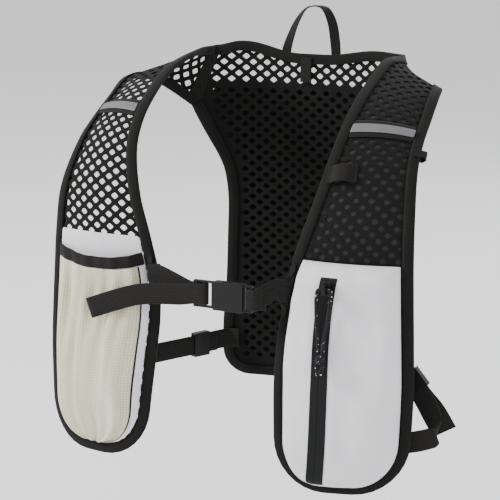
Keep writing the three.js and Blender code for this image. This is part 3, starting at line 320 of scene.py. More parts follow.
class Cloth:
    """A sheet of the vest as a map: a across it, b up from its hem and h off it, outwards."""

    corner: float
    length: float

    def side_half(self, b: float) -> float:
        """Half width at b, before its lower corners are rounded."""
        raise NotImplementedError

    def flat(self, a: float, b: float) -> Point:
        """A point of the cloth itself."""
        raise NotImplementedError

    def at(self, a: float, b: float, h: float = 0.0) -> Point:
        """A point h off the cloth."""
        raise NotImplementedError

    def top(self, a: float) -> float:
        """Height of the cloth's upper edge at a."""
        return self.length

    def half(self, b: float, inset: float = 0.0) -> float:
        """Half width of an outline at b, drawn in by inset, with rounded lower corners.

        Args:
            b: height above the hem.
            inset: how far in from the cloth's edge the outline lies.

        Returns:
            The half width.
        """
        full, radius = self.side_half(b), self.corner
        below, corner = radius - max(b, inset), radius - inset
        if below > 0:
            return full - radius + math.sqrt(max(corner * corner - below * below, 0.0))
        return full - inset

    def seam_margin(self, b: float, margin: float) -> tuple[float, float]:
        """Margins at the top and the side of an outline; one that is sewn to another cloth has hardly any."""
        return GAP / 2, margin

    def kept(self, a: float, b: float, margin: float) -> tuple[float, float]:
        """Moves a point that lies past the outline onto it.

        Args:
            a: place across.
            b: height above the hem.
            margin: how far inside the outline the point may come.

        Returns:
            The place and height of the point.
        """
        upper, aside = self.seam_margin(b, margin)
        b = max(b, margin)
        b = min(b, self.top(a) - upper)
        if aside != margin:
            return math.copysign(min(abs(a), self.side_half(b) - aside), a), b
        full, radius = self.side_half(b), self.corner
        if b < radius and abs(a) > full - radius:
            dx, dy = abs(a) - (full - radius), radius - b
            far = math.hypot(dx, dy)
            if far > radius - margin:
                share = (radius - margin) / far
                a, b = math.copysign(full - radius + dx * share, a), radius - dy * share
        else:
            a = math.copysign(min(abs(a), full - margin), a)
        return a, b


class FrontCloth(Cloth):
    """A front panel's cloth: side is 1 for the wearer's left and -1 for the right."""

    def __init__(self, side: int) -> None:
        """Lays the panel's edge curves."""
        self.side, self.corner = side, CORNER_R
        self.rows: dict[float, tuple[Point, Point, Point, float]] = {}

        def place(row: Sequence[float], first: int) -> Point:
            x, y, z = row[first : first + 3]
            lean = SIDE_LEAN if side < 0 and first == 0 and row[1] < 0 else 0.0
            settle = row[7] * SIDE_SETTLE if side < 0 else 0.0
            reach = FRONT_REACH if y < 0 else SEAM_REACH
            return np.array((side * (x * HALF_WIDTH + lean), y * reach, z * FRONT_DROP + settle))

        self.neck = Line(place(row, 0) for row in FRONT_SECTIONS)
        self.arm = Line(place(row, 3) for row in FRONT_SECTIONS)
        self.bow = Line((k, row[6] * PANEL_BOW, 0.0) for k, row in enumerate(FRONT_SECTIONS))
        steps = 400
        middles = [self.middle(k / steps) for k in range(steps + 1)]
        runs = [float(np.linalg.norm(q - p)) for p, q in zip(middles, middles[1:])]
        self.lengths = np.concatenate(([0.0], np.cumsum(runs)))
        self.length = float(self.lengths[-1])

    def middle(self, u: float) -> Point:
        """Point midway between the panel's edges."""
        return (self.neck.at(u) + self.arm.at(u)) / 2

    def row(self, b: float) -> tuple[Point, Point, Point, float]:
        """Neck edge, way across, way outwards and bow at a height, kept for the next use."""
        key = round(b, 3)
        if key not in self.rows:
            u = float(np.interp(key, self.lengths, np.linspace(0, 1, len(self.lengths))))
            neck = self.neck.at(u)
            across = self.arm.at(u) - neck
            along = self.middle(min(u + 0.01, 1)) - self.middle(max(u - 0.01, 0))
            outwards = unit(np.cross(along, across)) * -self.side
            neck = neck + unit(along) * min(key, 0.0)
            self.rows[key] = (neck, across, outwards, float(self.bow.at(u)[1]))
        return self.rows[key]

    def side_half(self, b: float) -> float:
        """Half width at b, before its lower corners are rounded."""
        return float(np.linalg.norm(self.row(b)[1])) / 2

    def flat(self, a: float, b: float) -> Point:
        """A point of the cloth itself."""
        neck, across, outwards, bow = self.row(b)
        t = 0.5 + a / float(np.linalg.norm(across))
        return neck + across * t + outwards * (bow * 4 * t * (1 - t))

    def normal(self, a: float, b: float) -> Point:
        """The way outwards at a point."""
        along = self.flat(a, min(b + 2, self.length)) - self.flat(a, max(b - 2, 0))
        across = self.flat(a + 2, b) - self.flat(a - 2, b)
        return unit(np.cross(along, across)) * -self.side

    def at(self, a: float, b: float, h: float = 0.0) -> Point:
        """A point h off the cloth, which meets the back's cloth at the seam."""
        outwards = self.normal(a, b)
        near = smooth(b, self.length - SEAM_EASE, self.length)
        if near > 0:
            share = 0.5 + a / (2 * self.half(self.length))
            outwards = unit(mix(outwards, seam_normal(share, self.side), near))
        return self.flat(a, b) + outwards * h


class BackCloth(Cloth):
    """The back's cloth: a runs along X from the middle and b is the height above the hem."""

    def __init__(self, front: FrontCloth) -> None:
        """Takes the seam's ends from a front panel."""
        self.corner = BACK_CORNER_R
        self.seam_neck, self.seam_arm = front.neck.at(1), front.arm.at(1)
        self.length = BACK_DROP + float(self.seam_neck[2])
        self.seam_low = BACK_DROP + float(self.seam_arm[2])

    def column(self, share: float, index: int) -> float:
        """A column of the back's table at a share of its drop, smoothly."""
        rows = BACK_SECTIONS
        k = 0
        while k < len(rows) - 2 and rows[k + 1][0] < share:
            k += 1

        def slope(i: int) -> float:
            low, high = rows[max(i - 1, 0)], rows[min(i + 1, len(rows) - 1)]
            return (high[index] - low[index]) / (high[0] - low[0])

        span = rows[k + 1][0] - rows[k][0]
        t = min(max((share - rows[k][0]) / span, 0.0), 1.0)
        t2, t3 = t * t, t**3
        ends = (2 * t3 - 3 * t2 + 1) * rows[k][index] + (3 * t2 - 2 * t3) * rows[k + 1][index]
        return ends + span * ((t3 - 2 * t2 + t) * slope(k) + (t3 - t2) * slope(k + 1))

    def seam_margin(self, b: float, margin: float) -> tuple[float, float]:
        """Margins at the neckline and the side: the side is sewn to a front panel above the arm hole."""
        return margin, GAP / 2 if b > self.seam_low - 2 else margin

    def rise(self, b: float) -> float:
        """Share of the way up the seam."""
        return min(max((b - self.seam_low) / (self.length - self.seam_low), 0.0), 1.0)

    def depth(self, x: float, b: float) -> float:
        """Place of the cloth along Y before it meets the seam."""
        low = self.column(min(max(1 - b / self.seam_low, 0.0), 1.0), 3)
        share = x / BACK_HALF
        return BACK_REACH - BACK_ROUND * mix(low, NECK_ROUND, self.rise(b)) * (share**2 + share**4 / 3)

    def side_half(self, b: float) -> float:
        """Half width at b, before its lower corners are rounded."""
        if b >= self.seam_low:
            return mix(float(self.seam_arm[0]), float(self.seam_neck[0]), self.rise(b))
        drop = 1 - b / self.seam_low
        return self.column(drop, 1) * BACK_HALF + self.column(drop, 2) * float(self.seam_arm[0])

    def top(self, a: float) -> float:
        """Height of the neckline above the hem at a."""
        place = abs(a) / float(self.seam_neck[0])
        climb = NECK_RISE[-1 if a < 0 else 1] * smooth(place, 0.2, 0.75) * (1 - smooth(place, 0.75, 1))
        return self.length + climb - NECK_DIP * (1 - smooth(place, 0.12, 0.7))

    def flat(self, a: float, b: float) -> Point:
        """A point of the cloth itself."""
        seam = mix(float(self.seam_arm[1]), float(self.seam_neck[1]), self.rise(b))
        edge = self.side_half(max(b, self.corner))
        missing = (seam - self.depth(edge, b)) * smooth(b, self.seam_low - 70, self.seam_low)
        return np.array((a, self.depth(a, b) + missing * smooth(abs(a), 0.55 * edge, edge), b - BACK_DROP))

    def normal(self, a: float, b: float) -> Point:
        """The way outwards at a point."""
        up, across = self.flat(a, b + 1) - self.flat(a, b - 1), self.flat(a + 1, b) - self.flat(a - 1, b)
        return unit(np.cross(up, across))

    def at(self, a: float, b: float, h: float = 0.0) -> Point:
        """A point h off the cloth, which meets the front panels at the seams."""
        outwards = self.normal(a, b)
        edge = self.side_half(b)
        near = smooth(abs(a), edge - SEAM_EASE, edge) * smooth(b, self.seam_low - 25, self.seam_low)
        if near > 0:
            share = min(max((self.length - b) / (self.length - self.seam_low), 0.0), 1.0)
            outwards = unit(mix(outwards, seam_normal(share, 1 if a > 0 else -1), near))
        return self.flat(a, b) + outwards * h


NAMES = {-1: "right", 1: "left"}
RIGHT, LEFT = FrontCloth(-1), FrontCloth(1)
BACK = BackCloth(LEFT)


def seam_normal(share: float, side: int) -> Point:
    """The way that both cloths stand off their shared seam.

    Args:
        share: from 0 at the neck end of the seam to 1 at its arm end.
        side: 1 for the wearer's left and -1 for the right.

    Returns:
        A vector of length one.
    """
    place = min(max(share, 0.0), 1.0)
    b = mix(BACK.length, BACK.seam_low, place)
    front = LEFT.normal((place - 0.5) * 2 * LEFT.half(LEFT.length), LEFT.length)
    made = unit(front + BACK.normal(BACK.side_half(b), b))
    return made * np.array((side, 1, 1))


# Shaders


class Wire:
    """A number in a shader: an output socket with arithmetic."""

    def __init__(self, shade: "Shade", socket: bpy.types.NodeSocket) -> None:
        """Keeps the socket and the tree that it is in."""
        self.shade, self.socket = shade, socket

    def _do(self, operation: str, *others: "Wire | float") -> "Wire":
        """A Math node on this value and others."""
        return self.shade.node("ShaderNodeMath", {"operation": operation}, dict(enumerate(others)))

    def __add__(self, other: "Wire | float") -> "Wire":
        """The sum."""
        return self._do("ADD", self, other)

    def __mul__(self, other: "Wire | float") -> "Wire":
        """The product."""
        return self._do("MULTIPLY", self, other)

    def __sub__(self, other: "Wire | float") -> "Wire":
        """The difference."""
        return self._do("SUBTRACT", self, other)

    def __rsub__(self, other: float) -> "Wire":
        """A number less this value."""
        return self._do("SUBTRACT", other, self)

    def __gt__(self, other: "Wire | float") -> "Wire":
        """One where this value is greater."""
        return self._do("GREATER_THAN", self, other)

    def __lt__(self, other: "Wire | float") -> "Wire":
        """One where this value is less."""
        return self._do("LESS_THAN", self, other)

    __radd__ = __add__
    __rmul__ = __mul__

    def sine(self, pitch: float) -> "Wire":
        """A wave of the given pitch in metres, from 0 to 1."""
        return self._do("SINE", self * (2 * math.pi / pitch)) * 0.5 + 0.5

    def folded(self) -> "Wire":
        """The value without its sign."""
        return self._do("ABSOLUTE", self)

    def turned(self, period: float) -> "Wire":
        """The value wrapped to one period."""
        return self.shade.node("ShaderNodeMath", {"operation": "WRAP"}, {0: self, 1: period, 2: 0.0})


Colour = tuple[float, float, float]


class Shade:
    """A material's node tree."""

    def __init__(self, name: str) -> None:
        """Starts a material with one shader."""
        self.material = bpy.data.materials.new(name)
        self.material.use_nodes = True
        self.tree = self.material.node_tree
        self.shader = self.tree.nodes["Principled BSDF"]

    def node(
        self, kind: str, settings: dict[str, object], inputs: dict[object, object], out: object = 0
    ) -> Wire:
        """Adds a node.

        Args:
            kind: the node's type.
            settings: its own settings, set first.
            inputs: values or wires by socket name or number.
            out: the output wanted.

        Returns:
            The output, as a wire.
        """
        made = self.tree.nodes.new(kind)
        for key, value in settings.items():
            setattr(made, key, value)
        for key, value in inputs.items():
            if isinstance(value, Wire):
                self.tree.links.new(value.socket, made.inputs[key])
            else:
                made.inputs[key].default_value = value
        return Wire(self, made.outputs[out])

    def place(self, kind: str) -> Wire:
        """Texture coordinates: Object or UV."""
        return self.node("ShaderNodeTexCoord", {}, {}, kind)

    def axes(self, where: Wire) -> tuple[Wire, Wire]:
        """The first two numbers of texture coordinates."""
        first = self.node("ShaderNodeSeparateXYZ", {}, {0: where})
        return first, Wire(self, first.socket.node.outputs[1])

    def noise(self, where: Wire, scale: float, detail: float = 3.0) -> Wire:
        """Noise from 0 to 1."""
        return self.node("ShaderNodeTexNoise", {}, {"Vector": where, "Scale": scale, "Detail": detail})

    def blend(self, amount: Wire | float, low: Colour | Wire, high: Colour) -> Wire:
        """A colour between two."""
        made = self.tree.nodes.new("ShaderNodeMix")
        made.data_type = "RGBA"
        for socket, value in ((made.inputs[0], amount), (made.inputs[6], low), (made.inputs[7], high)):
            if isinstance(value, Wire):
                self.tree.links.new(value.socket, socket)
            else:
                socket.default_value = value if isinstance(value, float) else (*value, 1.0)
        return Wire(self, made.outputs[2])

    def put(self, socket: str, value: Wire | float | Colour) -> None:
        """Sets or links one of the shader's sockets."""
        target = self.shader.inputs[socket]
        if isinstance(value, Wire):
            self.tree.links.new(value.socket, target)
        else:
            target.default_value = (*value, 1.0) if isinstance(value, tuple) else value

    def relief(self, height: Wire, depth: float, strength: float = 1.0) -> None:
        """Raises the surface by a height map, depth in metres."""
        inputs = {"Height": height, "Distance": depth, "Strength": strength}
        self.put("Normal", self.node("ShaderNodeBump", {}, inputs))


class Weave(Enum):
    """How a cloth is made."""

    PLAIN = "plain"
    RIBBED = "ribbed"
    KNIT = "knit"
    FINE_MESH = "fine mesh"
    BRAID = "braid"
    TAPE = "stitched tape"
    ZIP = "zip"


@dataclass(frozen=True)
class Fabric:
    """A cloth finish. Its pattern follows the piece's own UV map, in metres.

    Attributes:
        name: the material's name.
        dark, light: its two colours.
        weave: its pattern.
        pitch: the pattern's pitch.
        roughness: its mean roughness.
        depth: depth of the threads.
        sheen: strength of its sheen.
        coordinates: UV or Object.
        flecks: noise above this is a white fleck; 1 for none.
        fold_shading: strength of upright stripes of painted light and shade, standing for the lit and shaded sides of
            the cloth's folds.
    """

    name: str
    dark: Colour
    light: Colour
    weave: Weave
    pitch: float
    roughness: float
    depth: float = 0.0002
    sheen: float = 0.04
    coordinates: str = "UV"
    flecks: float = 1.0
    fold_shading: float = 0.0

    def pattern(self, u: Wire, v: Wire) -> Wire:
        """The height of the threads, from 0 to 1."""
        p = self.pitch
        if self.weave is Weave.RIBBED:
            return v.sine(p) * 0.75 + (u + v * 0.5).sine(p * 0.6) * 0.25
        if self.weave is Weave.KNIT:
            return (u + v).sine(p) * 0.5 + (u - v).sine(p) * 0.5
        if self.weave is Weave.FINE_MESH:
            return u.sine(p) * (v + u.sine(2 * p) * (0.25 * p)).sine(p)
        if self.weave is Weave.BRAID:
            return (u + v).sine(p) * (u - v).sine(p)
        if self.weave is Weave.ZIP:
            return u.sine(p) * 0.4 + (1.0 - ((v.folded() < 0.0007) * 1.0)) * 0.6
        if self.weave is Weave.TAPE:
            ribs = u.sine(p) * 0.6
            edge = ((v.folded() - 0.0078).folded() < 0.0006) * (u.turned(0.0028) > 0.0007)
            return ribs + edge * 0.8
        return u.sine(p) * 0.5 + v.sine(p) * 0.5

    def make(self) -> bpy.types.Material:
        """Builds the material."""
        shade = Shade(self.name)
        where = shade.place(self.coordinates)
        threads = self.pattern(*shade.axes(where))
        patches = shade.noise(shade.place("Object"), 28.0)
        fuzz = shade.noise(shade.place("Object"), 900.0, 2.0)
        share = 0.7 if self.weave is Weave.FINE_MESH else 0.45
        tone = threads * share + patches * (0.8 - share) + fuzz * 0.2
        # Painted light and shade: upright stripes of noise, lighter and darker, that stand in for the lit and shaded
        # sides of the cloth's folds.
        if self.fold_shading:
            fold_shading_place = shade.node("ShaderNodeMapping", {}, {"Vector": where, "Scale": (70.0, 9.0, 1.0)})
            tone = tone * (1 - self.fold_shading * 0.5) + (shade.noise(fold_shading_place, 1.0) - 0.3) * self.fold_shading
        colour = shade.blend(tone, self.dark, self.light)
        if self.flecks < 1:
            bright = shade.noise(shade.place("Object"), 420.0, 1.0) > self.flecks
            colour = shade.blend(bright, colour, (0.5, 0.5, 0.5))
        shade.put("Base Color", colour)
        shade.put("Roughness", patches * 0.12 + (self.roughness - 0.06))
        shade.put("Sheen Weight", self.sheen)
        shade.put("Sheen Roughness", 0.5)
        shade.put("Specular IOR Level", 0.08)
        shade.relief(threads * 0.8 + fuzz * 0.2, self.depth, 0.8)
        return shade.material


@dataclass(frozen=True)
class Moulded:
    """A moulded plastic or coated finish, with fine grain."""

    name: str
    dark: Colour
    light: Colour
    roughness: float
    metallic: float = 0.0
    grain: float = 1400.0
    depth: float = 0.00006

    def make(self) -> bpy.types.Material:
        """Builds the material."""
        shade = Shade(self.name)
        where = shade.place("Object")
        grain = shade.noise(where, self.grain, 2.0)
        patches = shade.noise(where, 60.0)
        shade.put("Base Color", shade.blend(patches * 0.6 + grain * 0.4, self.dark, self.light))
        shade.put("Roughness", grain * 0.16 + patches * 0.1 + (self.roughness - 0.13))
        shade.put("Metallic", self.metallic)
        shade.put("Specular IOR Level", 0.22)
        shade.relief(grain, self.depth, 0.5)
        return shade.material


NET_FINISH = Fabric("black_net", (0.003, 0.0028, 0.0027), (0.011, 0.0105, 0.010), Weave.KNIT, 0.0011, 0.85)
TAPE_FINISH = Fabric(
    "binding_tape", (0.0035, 0.0033, 0.003), (0.016, 0.0152, 0.0145), Weave.TAPE, 0.0009, 0.8
)
WEBBING_FINISH = Fabric(
    "webbing", (0.003, 0.0028, 0.0027), (0.02, 0.019, 0.018), Weave.RIBBED, 0.0022, 0.75, 0.0005
)
# The white cloth takes a little painted light and shade of folds, as upright stripes.
WHITE_FINISH = Fabric(
    "white_cloth", (0.56, 0.55, 0.585), (0.78, 0.77, 0.81),
    Weave.PLAIN, 0.0007, 0.65, 0.00012, 0.1, fold_shading=0.3
)
# The cream mesh takes strong painted light and shade of its upright folds, as stripes of cream-yellow and lighter
# white.
CREAM_FINISH = Fabric(
    "cream_mesh", (0.34, 0.32, 0.19), (0.90, 0.87, 0.70),
    Weave.FINE_MESH, 0.0026, 0.75, 0.0005, 0.05, fold_shading=0.9
)
SLEEVE_FINISH = Fabric(
    "sleeve_cloth", (0.006, 0.0056, 0.0052), (0.018, 0.0168, 0.0155), Weave.PLAIN, 0.0008, 0.8
)
BACKING_FINISH = Fabric(
    "backing_cloth", (0.016, 0.0155, 0.0155), (0.045, 0.044, 0.044), Weave.PLAIN, 0.0009, 0.8
)
ZIP_FINISH = Fabric(
    "zip_tape", (0.0035, 0.0036, 0.004), (0.013, 0.0135, 0.014), Weave.ZIP, 0.0012, 0.45, 0.0002
)
CORD_FINISH = Fabric(
    "braided_cord", (0.004, 0.004, 0.0045), (0.03, 0.03, 0.034), Weave.BRAID, 0.0018, 0.8, 0.0003, flecks=0.69
)
KNOT_FINISH = Fabric(
    "knot_cord", (0.004, 0.004, 0.0045), (0.03, 0.03, 0.034),
    Weave.BRAID, 0.0018, 0.8, 0.0003, 0.04, "Object", 0.69
)
TAB_FINISH = Fabric(
    "tab_tape", (0.0035, 0.0033, 0.003), (0.018, 0.017, 0.016),
    Weave.RIBBED, 0.0018, 0.8, 0.0003, 0.04, "Object"
)
PLASTIC_FINISH = Moulded("black_plastic", (0.003, 0.0029, 0.0028), (0.009, 0.0086, 0.0082), 0.4)
SILVER_FINISH = Moulded(
    "silver_tape", (0.105, 0.11, 0.113), (0.165, 0.17, 0.174), 0.5, 0.1, 2600.0, 0.00005
)


class Finishes:
    """Makes each finish once."""

    def __init__(self) -> None:
        """Starts with none made."""
        self.made: dict[str, bpy.types.Material] = {}

    def of(self, finish: Fabric | Moulded) -> bpy.types.Material:
        """The material of a finish."""
        if finish.name not in self.made:
            self.made[finish.name] = finish.make()
        return self.made[finish.name]


FINISHES = Finishes()


# Meshes


def finished(
    name: str,
    body: bmesh.types.BMesh,
    finish: Fabric | Moulded,
    slot: str,
    stands_for: Sequence[str],
    wall: float = 0.0,
    rounds: int = 0,
    offset: float = 0.0,
    rim: float = 0.0,
) -> bpy.types.Object:
    """Makes an object of a mesh in metres, rides it on the vest and says what it stands for.

    Args:
        name: the piece's name.
        body: its mesh, freed afterwards.
        finish: its finish.
        slot: the record's material slot.
        stands_for: the nodes that it replaces.
        wall: thickness given to a sheet, in metres.
        rounds: levels of subdivision.
        offset: side of the sheet that its wall grows on, from -1 to 1.
        rim: how crisp the corners of the sheet's outline and holes stay, from 0 to 1.

    Returns:
        The object.
    """
    mesh = bpy.data.meshes.new(name)
    for face in body.faces:
        face.smooth = True
    body.to_mesh(mesh)
    body.free()
    piece = bpy.data.objects.new(name, mesh)
    bpy.context.scene.collection.objects.link(piece)
    mesh.materials.append(FINISHES.of(finish))
    if wall:
        solidify = piece.modifiers.new("wall", "SOLIDIFY")
        solidify.thickness, solidify.offset, solidify.use_even_offset = wall, offset, False
        solidify.edge_crease_rim = rim
    if rounds:
        subdivision = piece.modifiers.new("rounds", "SUBSURF")
        subdivision.levels = subdivision.render_levels = rounds
    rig.ride(piece, "root")
    if stands_for:
        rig.replaces(piece, *stands_for)
    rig.slot(piece, slot)
    log.info("%s: %d faces", name, len(mesh.polygons))
    return piece


def grid(
    columns: int,
    rows: int,
    size: tuple[float, float],
    place: Callable[[float, float], Point],
) -> bmesh.types.BMesh:
    """A sheet of quads laid on a map, with a UV map in metres.

    Args:
        columns: quads across.
        rows: quads along.
        size: its flat width and length in millimetres.
        place: the point in millimetres at s from -1 to 1 across and t from 0 to 1 along.

    Returns:
        The mesh, in metres.
    """
    body = bmesh.new()
    bmesh.ops.create_grid(body, x_segments=columns, y_segments=rows, size=1.0)
    layer = body.loops.layers.uv.new("UVMap")
    for face in body.faces:
        for loop in face.loops:
            x, y = loop.vert.co.x, loop.vert.co.y
            loop[layer].uv = (x * size[0] / 2 * MM, (y + 1) / 2 * size[1] * MM)
    for vert in body.verts:
        vert.co = Vector(place(vert.co.x, (vert.co.y + 1) / 2)) * MM
    return body


def sheet(
    name: str,
    cells: tuple[int, int],
    size: tuple[float, float],
    place: Callable[[float, float], Point],
    looks: tuple[Fabric | Moulded, str, Sequence[str]],
    wall: float,
    way: tuple[float, float, float] = FORWARD,
    rounds: int = 1,
    offset: float = 0.0,
) -> bpy.types.Object:
    """Makes a piece of a thin sheet.

    Args:
        name: the piece's name.
        cells: quads across and along.
        size: its flat width and length in millimetres.
        place: the sheet's map, as for grid.
        looks: its finish, the record's slot and the nodes that it stands for.
        wall: its thickness in millimetres.
        way: about which way its outer face looks.
        rounds: levels of subdivision.
        offset: side of the sheet that its wall grows on, from -1 to 1.

    Returns:
        The piece.
    """
    body = grid(*cells, size, place)
    body.normal_update()
    if next(iter(body.faces)).normal.dot(Vector(way)) < 0:
        bmesh.ops.reverse_faces(body, faces=body.faces[:])
    return finished(name, body, *looks, wall * MM, rounds, offset)


def swept(
    stations: Sequence[Sequence[Point]], lengths: Sequence[float], widths: Sequence[float]
) -> bmesh.types.BMesh:
    """A closed profile carried along stations, with closed ends and a UV map in metres.

    Args:
        stations: the profile's points at each station, in millimetres.
        lengths: how far along each station is.
        widths: place of each profile point across the tape.

    Returns:
        The mesh, in metres.
    """
    body = bmesh.new()
    rings = [[body.verts.new(Vector(p) * MM) for p in ring] for ring in stations]
    layer = body.loops.layers.uv.new("UVMap")
    count = len(widths)
    for k, (ring, after) in enumerate(zip(rings, rings[1:])):
        for i in range(count):
            j = (i + 1) % count
            face = body.faces.new((ring[i], ring[j], after[j], after[i]))
            for loop, (at, across) in zip(face.loops, ((k, i), (k, j), (k + 1, j), (k + 1, i))):
                loop[layer].uv = (lengths[at] * MM, widths[across] * MM)
    body.faces.new(list(reversed(rings[0])))
    body.faces.new(rings[-1])
    bmesh.ops.recalc_face_normals(body, faces=body.faces[:])
    return body


@dataclass
class Net:
    """A sheet of diamond net: a lattice of cells, each inset and opened."""

    name: str
    cloth: Cloth
    node: str
    across: float = 14.4
    up: float = 11.6
    bar: float = 1.95
    margin: float = 3.0
    firm: float = 0.5

    def opens(self, face: bmesh.types.BMFace) -> bool:
        """Whether a cell of the net is open: it isn't a sliver at an edge, or where the sleeve is sewn on."""
        if face.calc_area() < 0.55 * self.across * self.up / 2:
            return False
        a, b = face.calc_center_median()[:2]
        sewn = isinstance(self.cloth, BackCloth) and b < SLEEVE_TOP + 4
        return not sewn or (abs(a) < self.cloth.half(b, SLEEVE_IN) - 5 and SLEEVE_IN + 5 < b < SLEEVE_TOP - 6)

    def build(self) -> bpy.types.Object:
        """Cuts the lattice to the cloth's outline and lays it on the cloth."""
        cloth = self.cloth
        reach = 260.0 if isinstance(cloth, BackCloth) else 170.0
        count = int(2 * (cloth.length / self.up + reach / self.across)) // 2 + 6
        body = bmesh.new()
        bmesh.ops.create_grid(body, x_segments=count, y_segments=count, size=0.5 * count)
        for vert in body.verts:
            i, j = vert.co.x, vert.co.y
            vert.co = Vector(((i + j) * self.across / 2, (i - j) * self.up / 2 + cloth.length / 2, 0.0))
        outside = []
        for face in body.faces:
            centre = face.calc_center_median()
            past = not -self.up / 2 < centre.y < cloth.top(centre.x) + self.up / 2
            reach = cloth.side_half(min(max(centre.y, 0.0), cloth.length)) + self.across / 2
            if past or abs(centre.x) > reach:
                outside.append(face)
        bmesh.ops.delete(body, geom=outside, context="FACES")
        for vert in body.verts:
            vert.co.x, vert.co.y = cloth.kept(vert.co.x, vert.co.y, self.margin)
        bmesh.ops.remove_doubles(body, verts=body.verts[:], dist=0.2)
        thin = [face for face in body.faces if face.calc_area() < 6.0]
        bmesh.ops.delete(body, geom=thin, context="FACES")
        whole = [face for face in body.faces if self.opens(face)]
        bmesh.ops.inset_individual(body, faces=whole, thickness=self.bar, depth=0.0, use_even_offset=True)
        firm = body.verts.layers.float.new("crease_vert")
        for face in whole:
            for vert in face.verts:
                vert[firm] = self.firm
        bmesh.ops.delete(body, geom=whole, context="FACES_ONLY")
        layer = body.loops.layers.uv.new("UVMap")
        for face in body.faces:
            for loop in face.loops:
                loop[layer].uv = (loop.vert.co.x * MM, loop.vert.co.y * MM)
        for vert in body.verts:
            vert.co = Vector(cloth.at(vert.co.x, vert.co.y)) * MM
        loose = [vert for vert in body.verts if not vert.link_faces]
        bmesh.ops.delete(body, geom=loose, context="VERTS")
        return finished(self.name, body, NET_FINISH, "net", [self.node], 1.1 * MM, 1, rim=self.firm)


# The folded tape's profile: inwards from the cloth's edge, and off the cloth
BINDING_PROFILE = (
    (BINDING_W, -BINDING_OUT),
    (4.5, -BINDING_OUT - 0.1),
    (0.2, -BINDING_OUT),
    (-1.0, -0.62 * BINDING_OUT),
    (-1.25, 0.0),
    (-1.0, 0.62 * BINDING_OUT),
    (0.2, BINDING_OUT),
    (4.5, BINDING_OUT + 0.1),
    (BINDING_W, BINDING_OUT),
    (BINDING_W, SLOT),
    (-0.1, SLOT),
    (-0.35, 0.0),
    (-0.1, -SLOT),
    (BINDING_W, -SLOT),
)


@dataclass
class Binding:
    """Folded tape round an edge of a cloth."""

    name: str
    cloth: Cloth
    outline: Sequence[tuple[float, float]]
    nodes: Sequence[str]

    def build(self) -> bpy.types.Object:
        """Carries the folded profile along the outline."""
        stations, lengths = [], [0.0]
        points = list(self.outline)
        for k, (a, b) in enumerate(points):
            before, after = points[max(k - 1, 0)], points[min(k + 1, len(points) - 1)]
            square = np.array((before[1] - after[1], after[0] - before[0]))
            square = square / max(float(np.linalg.norm(square)), 1e-9)
            ring = [self.cloth.at(a + square[0] * u, b + square[1] * u, v) for u, v in BINDING_PROFILE]
            stations.append(ring)
            if k:
                lengths.append(lengths[-1] + math.dist(points[k - 1], (a, b)))
        body = swept(stations, lengths, [math.copysign(max(u, 0.1), v) for u, v in BINDING_PROFILE])
        return finished(self.name, body, TAPE_FINISH, "binding", self.nodes)


@dataclass(frozen=True)
class Bindings:
    """Every bound edge of the vest.

    Attributes:
        step: about how far apart a tape's stations are.
        corner_turns: stations round a lower corner, less one.
        neck_turns: stations along the neckline, less one.
    """

    step: float = 7.0
    corner_turns: int = 8
    neck_turns: int = 30

    def up(self, cloth: Cloth, top: float, side: int) -> list[tuple[float, float]]:
        """Points of a cloth's outline from the hem, round a lower corner and up its side.

        Args:
            cloth: the cloth.
            top: the last height.
            side: 1 or -1.

        Returns:
            Places and heights.
        """
        radius = cloth.corner
        turn = np.linspace(0, math.pi / 2, self.corner_turns + 1)
        heights = [radius * (1 - math.cos(angle)) for angle in turn]
        heights += list(np.linspace(radius, top, max(int((top - radius) / self.step), 2) + 1)[1:])
        return [(side * cloth.half(b), b) for b in heights]

    def around(self, cloth: Cloth, top: float, hem_turns: int) -> list[tuple[float, float]]:
        """Points down one side of a cloth, along its hem and up the other side."""
        down = list(reversed(self.up(cloth, top, -1)))
        low = down[-1][0]
        hem = [(a, 0.0) for a in np.linspace(low, -low, hem_turns + 1)[1:-1]]
        return down + hem + self.up(cloth, top, 1)

    def front(self, cloth: FrontCloth, side: str) -> bpy.types.Object:
        """The tape of one front panel: down its neck edge, round its hem and up its arm edge."""
        nodes, edge = [f"{side}_front_binding", f"{side}_arm_binding"], self.around(cloth, cloth.length, 5)
        return Binding(f"{side}_front_binding_tape", cloth, edge, nodes).build()

    def back(self) -> list[bpy.types.Object]:
        """The tapes of the back: round its sides and hem, and along its neckline."""
        edge = self.around(BACK, BACK.seam_low + 0.5, 13)
        end = float(BACK.seam_neck[0])
        neck = [(a, BACK.top(a)) for a in np.linspace(end, -end, self.neck_turns + 1)]
        return [
            Binding("back_edge_binding_tape", BACK, edge, ["back_edge_binding"]).build(),
            Binding("back_neck_binding_tape", BACK, neck, ["back_neck_binding"]).build(),
        ]


@dataclass
class Seam:
    """The sewn shoulder seam between a front panel and the back."""

    name: str
    cloth: FrontCloth
    half_width: float = 6.5
    wall: float = 2.5

    def build(self) -> bpy.types.Object:
        """Makes a narrow tape over the seam, inside the edge tapes."""
        side, front = self.cloth.side, self.cloth
        looks = (TAB_FINISH, "binding", [f"{NAMES[side]}_front_panel"])

        def face(s: float, t: float) -> Point:
            share, away = mix(0.01, 0.99, t), abs(s) * self.half_width
            if s <= 0:
                return front.at((share - 0.5) * 2 * front.half(front.length), front.length - away)
            b = mix(BACK.length, BACK.seam_low, share)
            return BACK.at(side * (BACK.side_half(b) - away), b)

        return sheet(self.name, (6, 24), (9, 60), face, looks, self.wall, (side * 0.3, 0.3, 1.0))


